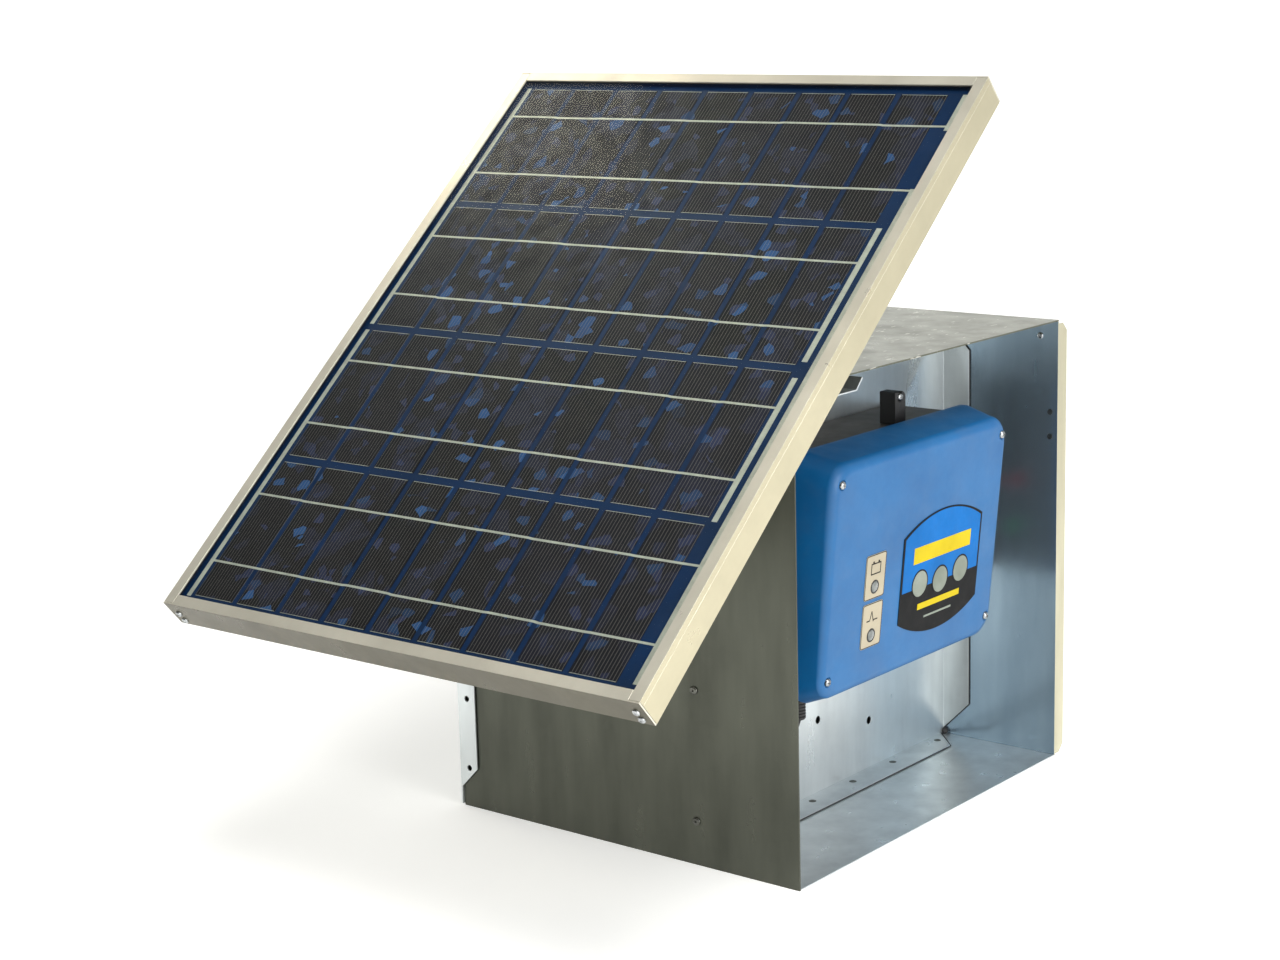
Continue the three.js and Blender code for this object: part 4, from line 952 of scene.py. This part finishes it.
def ribbons():
    """Busbars with a small kink at each gap, light cell edges and, as (from, to) across the panel from
    its rear edge and (from, to) up its slope, the bus ribbons at both ends."""
    chance = random.Random(9)
    bm = bmesh.new()
    for row, (start, end) in enumerate(CELL_ROWS):
        last_x = LAST_BUS_X["outer" if row in (0, len(CELL_ROWS) - 1) else "inner"]
        for u in (PANEL_LOW_U + start + BUSBAR_INSET, PANEL_LOW_U + end - BUSBAR_INSET):
            points = [(u, HALF_WIDTH - FIRST_BUS_X)]
            for column in range(COLUMNS):
                v = FIRST_CELL_V - column * CELL_PITCH
                shift = chance.uniform(-BUSBAR_SHIFT, BUSBAR_SHIFT)
                points += [(u + shift, v + 0.6), (u + shift * 0.6, v - CELL_WIDTH - 0.6)]
            points.append((u, HALF_WIDTH - last_x))
            add_strip(bm, points, BUSBAR_WIDTH, CELL_TOP_W, BUSBAR_TOP_W)
        for column in range(COLUMNS):
            v = FIRST_CELL_V - column * CELL_PITCH
            for u in (start + 0.5, end - 0.5):
                u += PANEL_LOW_U
                add_box(bm, (u - 0.2, v - CELL_WIDTH + 1, CELL_TOP_W), (u + 0.2, v - 1, CELL_TOP_W + 0.02))
    for x0, x1, start, end in BUS_RIBBONS:
        add_box(bm, (PANEL_LOW_U + start, HALF_WIDTH - x1, CELL_TOP_W - 0.1),
                (PANEL_LOW_U + end, HALF_WIDTH - x0, BUSBAR_TOP_W - 0.03))
    piece("busbars", bm, RIBBON, "panel", PANEL)


PANE_GAP = 0.3
SEAL_SHOWN = 0.9
SEAL_HEIGHT = 0.28


def glazing():
    """The pane, and the black seal that shows as a thin line along the frame's lip."""
    low = PANEL_LOW_U + FRAME_WALL + PANE_GAP
    high = PANEL_LOW_U + PANEL_LENGTH - FRAME_WALL - PANE_GAP
    reach = HALF_WIDTH - FRAME_WALL - PANE_GAP
    bm = bmesh.new()
    add_box(bm, (low, -reach, GLASS_LOW_W), (high, reach, GLASS_TOP_W))
    piece("panel_pane", bm, GLASS, "panel", PANEL, replaces=("panel_glass",))
    edge = FRAME_LIP - 1
    outer_low, outer_high = PANEL_LOW_U + edge, PANEL_LOW_U + PANEL_LENGTH - edge
    inner_low, inner_high = outer_low + 1 + SEAL_SHOWN, outer_high - 1 - SEAL_SHOWN
    outer, inner = HALF_WIDTH - edge, HALF_WIDTH - edge - 1 - SEAL_SHOWN
    seal = bmesh.new()
    for u0, u1, v0, v1 in (
            (outer_low, inner_low, -outer, outer), (inner_high, outer_high, -outer, outer),
            (inner_low, inner_high, -outer, -inner), (inner_low, inner_high, inner, outer)):
        add_box(seal, (u0, v0, GLASS_TOP_W), (u1, v1, GLASS_TOP_W + SEAL_HEIGHT))
    piece("pane_seal", seal, SEAL_AND_SHADOW_BEAD, "panel", PANEL)


def screw_shape(radius, height, recess):
    """A pan-head screw's head on z = 0 with a cross recess."""
    head = bmesh.new()
    profile = [(0, -0.5), (radius, -0.5), (radius, 0)]
    profile += [(radius * math.cos(a) ** 0.6, height * math.sin(a))
                for a in (math.radians(d) for d in (20, 40, 58, 75))]
    add_turned(head, [*profile, (0, height)], segments=36)
    cross = bmesh.new()
    half = recess * 0.16
    add_box(cross, (-recess, -half, height * 0.35), (recess, half, height + 1))
    tool = bmesh.new()
    add_box(tool, (-half, -recess, height * 0.35), (half, recess, height + 1))
    return carve(carve(head, cross), tool)


def screw(name, place, radius, height, body="box", replaces=(), material=None):
    bm = screw_shape(radius, height, radius * 0.62)
    bm.transform(place)
    piece(name, bm, material or ZINC, body, angle=40, replaces=replaces)


CORNER_SCREW = {"radius": 3.4, "height": 1.9, "recess": 2.1}
CORNER_SCREW_DEPTHS = (14, 24)
CORNER_SCREW_INSET = 10


def panel_screws():
    """Two pan-head screws at each corner, through the end members into the side members."""
    for node in ("frame_screw_1", "frame_screw_2"):
        refine(node, ZINC, 0.1, PANEL, angle=40)
    count = 0
    for end in (-1, 1):
        u = PANEL_LOW_U if end < 0 else PANEL_LOW_U + PANEL_LENGTH
        for side in (-1, 1):
            v = side * (HALF_WIDTH - CORNER_SCREW_INSET)
            for depth in CORNER_SCREW_DEPTHS:
                count += 1
                bm = screw_shape(**CORNER_SCREW)
                bm.transform(towards((end, 0, 0), (u + end * 0.3, v, FRONT_W - depth)))
                piece(f"corner_screw_{count}", bm, ZINC, "panel", PANEL, angle=40)


panel_frame()
laminate()
cells()
ribbons()
glazing()
panel_screws()
for node in ("junction_box", "junction_lid", "junction_gland"):
    refine(node, BLACK, 0.4, PANEL, angle=40)


# ---- Energizer ----

ENERGIZER_X = -16
RIM = {"width": 310, "low": 146, "high": 379, "y": -155.5, "radius": 24}
FACE = {"width": 280, "low": 160, "high": 361, "top_y": -201, "bottom_y": -181}
FACE_SLOPE = (FACE["bottom_y"] - FACE["top_y"]) / (FACE["high"] - FACE["low"])
FACE_TILT = math.atan(FACE_SLOPE)
COVER_WALL = 2.5
EDGE_FORWARD = 0.74
EDGE_DRAW = 0.4
RIM_BAND = 0.12

COVER_SCREW_REACH = 137
COVER_SCREW_HEIGHTS = {"top": 353, "bottom": 170}
COVER_SCREWS = [
    (f"{row}_{side}", ENERGIZER_X + sign * COVER_SCREW_REACH, z)
    for row, z in COVER_SCREW_HEIGHTS.items() for side, sign in (("left", -1), ("right", 1))]
COVER_SCREW_SUNK = 0.8
COVER_RECESS_PROFILE = [(0, -1.2), (4.6, -1.2), (5.2, 0.2), (5.2, 4), (0, 4)]


def face_y(z):
    return FACE["top_y"] + (FACE["high"] - z) * FACE_SLOPE


def on_face(x, z):
    """A place on the sloping front face, its +Z straight out of it."""
    return Matrix.Translation((x, face_y(z), z)) @ Matrix.Rotation(math.pi / 2 + FACE_TILT, 4, "X")


def cover_ring(bm, station, inset):
    """One ring of the cover: a rounded rectangle between its rim and its sloping face."""
    forward, draw = station
    height = RIM["high"] - RIM["low"] - 2 * inset
    width = RIM["width"] - 2 * inset
    low = RIM["low"] + (FACE["low"] - RIM["low"]) * draw + inset
    high = RIM["high"] + (FACE["high"] - RIM["high"]) * draw - inset
    half = (RIM["width"] + (FACE["width"] - RIM["width"]) * draw) / 2 - inset
    ring = []
    for across, up in rounded(width, height, RIM["radius"] - inset, steps=10):
        z = low + (high - low) * (up / height + 0.5)
        y = RIM["y"] + (face_y(z) + inset - RIM["y"]) * forward
        ring.append(bm.verts.new((ENERGIZER_X + across / (width / 2) * half, y, z)))
    return ring


def front_cover():
    """The blue cover: a lofted shell with slanting sides and a rounded edge, open at its back."""
    steps = 12
    stations = [(0, 0), (RIM_BAND, 0)]
    for i in range(steps + 1):
        angle = math.pi / 2 * i / steps
        stations.append((EDGE_FORWARD + (1 - EDGE_FORWARD) * math.sin(angle),
                         EDGE_DRAW + (1 - EDGE_DRAW) * (1 - math.cos(angle))))
    bm = bmesh.new()
    skins = [[cover_ring(bm, station, inset) for station in stations] for inset in (0, COVER_WALL)]
    for rings in skins:
        for lower, upper in zip(rings, rings[1:]):
            for i in range(len(lower)):
                bm.faces.new((lower[i - 1], lower[i], upper[i], upper[i - 1]))
        bm.faces.new(rings[-1])
    outer, inner = skins[0][0], skins[1][0]
    for i in range(len(outer)):
        bm.faces.new((outer[i - 1], outer[i], inner[i], inner[i - 1]))
    recesses = bmesh.new()
    for _, x, z in COVER_SCREWS:
        add_turned(recesses, COVER_RECESS_PROFILE, on_face(x, z), 32)
    piece("cover_shell", carve(bm, recesses), BLUE, bevel=0.3, angle=35, replaces=("front_cover",))


def cover_screws():
    for name, x, z in COVER_SCREWS:
        sunk = Matrix.Translation((0, 0, -COVER_SCREW_SUNK))
        place = on_face(x, z) @ sunk @ Matrix.Rotation(0.4 + x, 4, "Z")
        screw(f"cover_fixing_{name}", place, 3.9, 3.0, replaces=(f"cover_screw_{name}",))


STICKER = {"x": -88, "width": 33, "height": 43, "radius": 3}
STICKER_CENTRES = {"battery": 256, "pulse": 209.5}
LENS_DROP = 10
LENS_RADIUS = 5.4
LENS_SEAT = 0.5
LENS_DOME = 1.5
INK_LOW = 0.5
INK_HIGH = 0.62


def add_outline(bm, outer, inner, low, high, place):
    """A flat ring between two outlines with the same number of points."""
    levels = []
    for outline in (outer, inner):
        levels.append([
            [bm.verts.new(place @ Vector((a, b, h))) for a, b in outline] for h in (low, high)])
    (outer_low, outer_high), (inner_low, inner_high) = levels
    loops = (outer_low, outer_high, inner_high, inner_low)
    for i in range(len(outer)):
        for a, b in zip(loops, (*loops[1:], loops[0])):
            bm.faces.new((a[i - 1], a[i], b[i], b[i - 1]))


def pictogram(kind):
    """Strokes of a plain sign, as closed outlines round the middle of a sticker's upper half."""
    if kind == "battery":
        return [
            bar(-8, 2, 8, 3.2), bar(-8, 11.8, 8, 13), bar(-8, 3.2, -6.8, 11.8), bar(6.8, 3.2, 8, 11.8),
            bar(-5.5, 13, -3, 14.8), bar(3, 13, 5.5, 14.8)]
    return [
        bar(-9, 4, -3.4, 5.2), [(-4.2, 5.2), (-3, 5.2), (-0.4, 13.4), (-1.6, 13.4)],
        [(-0.6, 13.4), (-1.6, 13.4), (1.6, 3), (2.8, 3)], bar(1.8, 4, 9, 5.2)]


def stickers():
    for kind, z in STICKER_CENTRES.items():
        place = on_face(STICKER["x"], z)
        film = bmesh.new()
        size = (STICKER["width"], STICKER["height"])
        add_prism(film, rounded(*size, STICKER["radius"]), 0.05, 0.55, place=place)
        piece(f"{kind}_film", film, BEIGE, bevel=0.12, replaces=(f"{kind}_sticker",))
        ink = bmesh.new()
        outer = rounded(size[0] - 0.6, size[1] - 0.6, STICKER["radius"] - 0.3)
        inner = rounded(size[0] - 2.2, size[1] - 2.2, STICKER["radius"] - 1.1)
        add_outline(ink, outer, inner, INK_LOW, INK_HIGH, place)
        for stroke in pictogram(kind):
            add_prism(ink, stroke, INK_LOW, INK_HIGH, place=place)
        piece(f"{kind}_print", ink, INK)
        lens_place = on_face(STICKER["x"], z - LENS_DROP)
        lens = bmesh.new()
        dome = [(LENS_RADIUS * math.cos(a), LENS_SEAT + LENS_DOME * math.sin(a))
                for a in (math.radians(d) for d in range(0, 90, 15))]
        tip = (0, LENS_SEAT + LENS_DOME)
        add_turned(lens, [(0, -3), (LENS_RADIUS, -3), *dome, tip], lens_place, 36)
        piece(f"{kind}_lamp", lens, LENS, angle=50, replaces=(f"{kind}_lens",))
        ring = bmesh.new()
        add_turned(ring, [(LENS_RADIUS, 0.3), (LENS_RADIUS + 1.3, 0.3), (LENS_RADIUS + 1.1, 0.9),
                          (LENS_RADIUS + 0.1, 1.1), (LENS_RADIUS, 0.3)], lens_place, 36)
        piece(f"{kind}_bezel", ring, BLACK, angle=50)


LABEL = {"x": 26.5, "z": 239.5, "width": 138.5, "side": 83.5, "rise": 18}


def label_arc(width, side, rise, sign, steps=24):
    """The arched top (+1) or bowl-shaped bottom (-1) of the label, from right to left or back."""
    radius = (width * width / 4 + rise * rise) / (2 * rise)
    sweep = math.degrees(math.asin(width / 2 / radius))
    centre = sign * (side / 2 + rise - radius)
    middle = 90 * sign
    return arc(0, centre, radius, middle - sweep, middle + sweep, steps)


LABEL_BORDER = 3
FIELD_LOW = -12
PRINT_LOW = 0.5
FIELD_HIGH = 0.72
BAND_HIGH = 0.84
BANDS = [bar(-50, 13, 50, 29), bar(-37, -34, 37, -28)]
GREY_BAR = bar(-24, -44, 24, -42)
DISC_CENTRES = [(-36, -8), (0, -11), (36, -8)]
DISC_RADIUS = 12.5
DISC_RIM = DISC_RADIUS + 1.6
DISC_PROFILE = [(0, 0.5), (DISC_RADIUS, 0.5), (DISC_RADIUS, 0.92), (0, 0.92)]
RIM_PROFILE = [(0, 0.45), (DISC_RIM, 0.45), (DISC_RIM, 0.82), (0, 0.82)]


def front_label():
    """A plain black shield with a blue upper field, yellow bands, grey discs and a grey bar."""
    place = on_face(LABEL["x"], LABEL["z"])
    width, side, rise = LABEL["width"], LABEL["side"], LABEL["rise"]
    base = bmesh.new()
    shield = label_arc(width, side, rise, 1) + label_arc(width, side, rise, -1)
    add_prism(base, shield, 0.05, 0.6, place=place)
    piece("label_shield", base, LABEL_BLACK, bevel=0.15, replaces=("front_label",))
    top = label_arc(width - 2 * LABEL_BORDER, side - LABEL_BORDER, rise, 1)
    edge = width / 2 - LABEL_BORDER
    field = bmesh.new()
    add_prism(field, [*top, (-edge, FIELD_LOW), (edge, FIELD_LOW)], PRINT_LOW, FIELD_HIGH, place=place)
    piece("label_field", field, LABEL_BLUE)
    bands = bmesh.new()
    for band in BANDS:
        add_prism(bands, band, PRINT_LOW, BAND_HIGH, place=place)
    piece("label_bands", bands, LABEL_YELLOW)
    discs, rims = bmesh.new(), bmesh.new()
    for x, y in DISC_CENTRES:
        centre = place @ Matrix.Translation((x, y, 0))
        add_turned(discs, DISC_PROFILE, centre, 36)
        add_turned(rims, RIM_PROFILE, centre, 36)
    add_prism(discs, GREY_BAR, PRINT_LOW, FIELD_HIGH, place=place)
    piece("label_discs", discs, LABEL_GREY)
    piece("label_disc_rims", rims, LABEL_BLACK)


LUG_SCREW_RADIUS = 4.1
LUG_SCREW_HEIGHT = 2.0


def lug():
    refine("mounting_lug", BLACK, bevel=0.8, angle=40)
    low, high = node_box("lug_screw")
    centre = (low + high) / 2
    place = towards((0, -1, 0), (centre.x, high.y - 1.2, centre.z))
    screw("lug_fixing", place, LUG_SCREW_RADIUS, LUG_SCREW_HEIGHT, replaces=("lug_screw",))


SLEEVE_RADIUS = 6.6
SLEEVE_GROOVE = SLEEVE_RADIUS - 0.9
SLEEVE_BORE = SLEEVE_RADIUS - 1.4
SLEEVE_LENGTH = 24
SLEEVE_PITCH = 3


def lead_sleeve():
    """A short ribbed sleeve that keeps the two leads together below the gland."""
    low, high = node_box("lead_gland")
    centre = (low + high) / 2
    profile = []
    for i in range(SLEEVE_LENGTH // SLEEVE_PITCH):
        top = -SLEEVE_PITCH * i
        profile += [(SLEEVE_RADIUS, top), (SLEEVE_RADIUS, top - 1.6),
                    (SLEEVE_GROOVE, top - 2.1), (SLEEVE_GROOVE, top - 2.5)]
    bore = [(SLEEVE_BORE, -SLEEVE_LENGTH), (SLEEVE_BORE, 0), profile[0]]
    bm = bmesh.new()
    add_turned(bm, profile + bore, Matrix.Translation((centre.x, centre.y, low.z - 0.3)), 28)
    piece("lead_sleeve", bm, BLACK, angle=50)


front_cover()
cover_screws()
lead_sleeve()
stickers()
front_label()
lug()
refine("rear_housing", HOUSING, bevel=0.6, angle=35)
refine("lead_gland", BLACK, bevel=0.4, angle=40)
refine("fence_knob", RED, bevel=0.8, angle=60)
refine("earth_knob", GREEN, bevel=0.8, angle=60)
refine("fence_terminal", ZINC, bevel=0.2, angle=40)
refine("earth_terminal", ZINC, bevel=0.2, angle=40)
refine("circuit_board", BOARD, bevel=0.1)
refine("transformer_core", FERRITE, bevel=0.5)
refine("transformer_winding", COPPER, bevel=2)
refine("storage_capacitor", SLEEVE, bevel=0.5, angle=40)


# ---- Battery ----

refine("battery_case", BATTERY, bevel=1.2)
refine("battery_lid", BATTERY, bevel=1.0, angle=40)
refine("clamp_positive", LEAD, bevel=0.6)
refine("clamp_negative", LEAD, bevel=0.6)
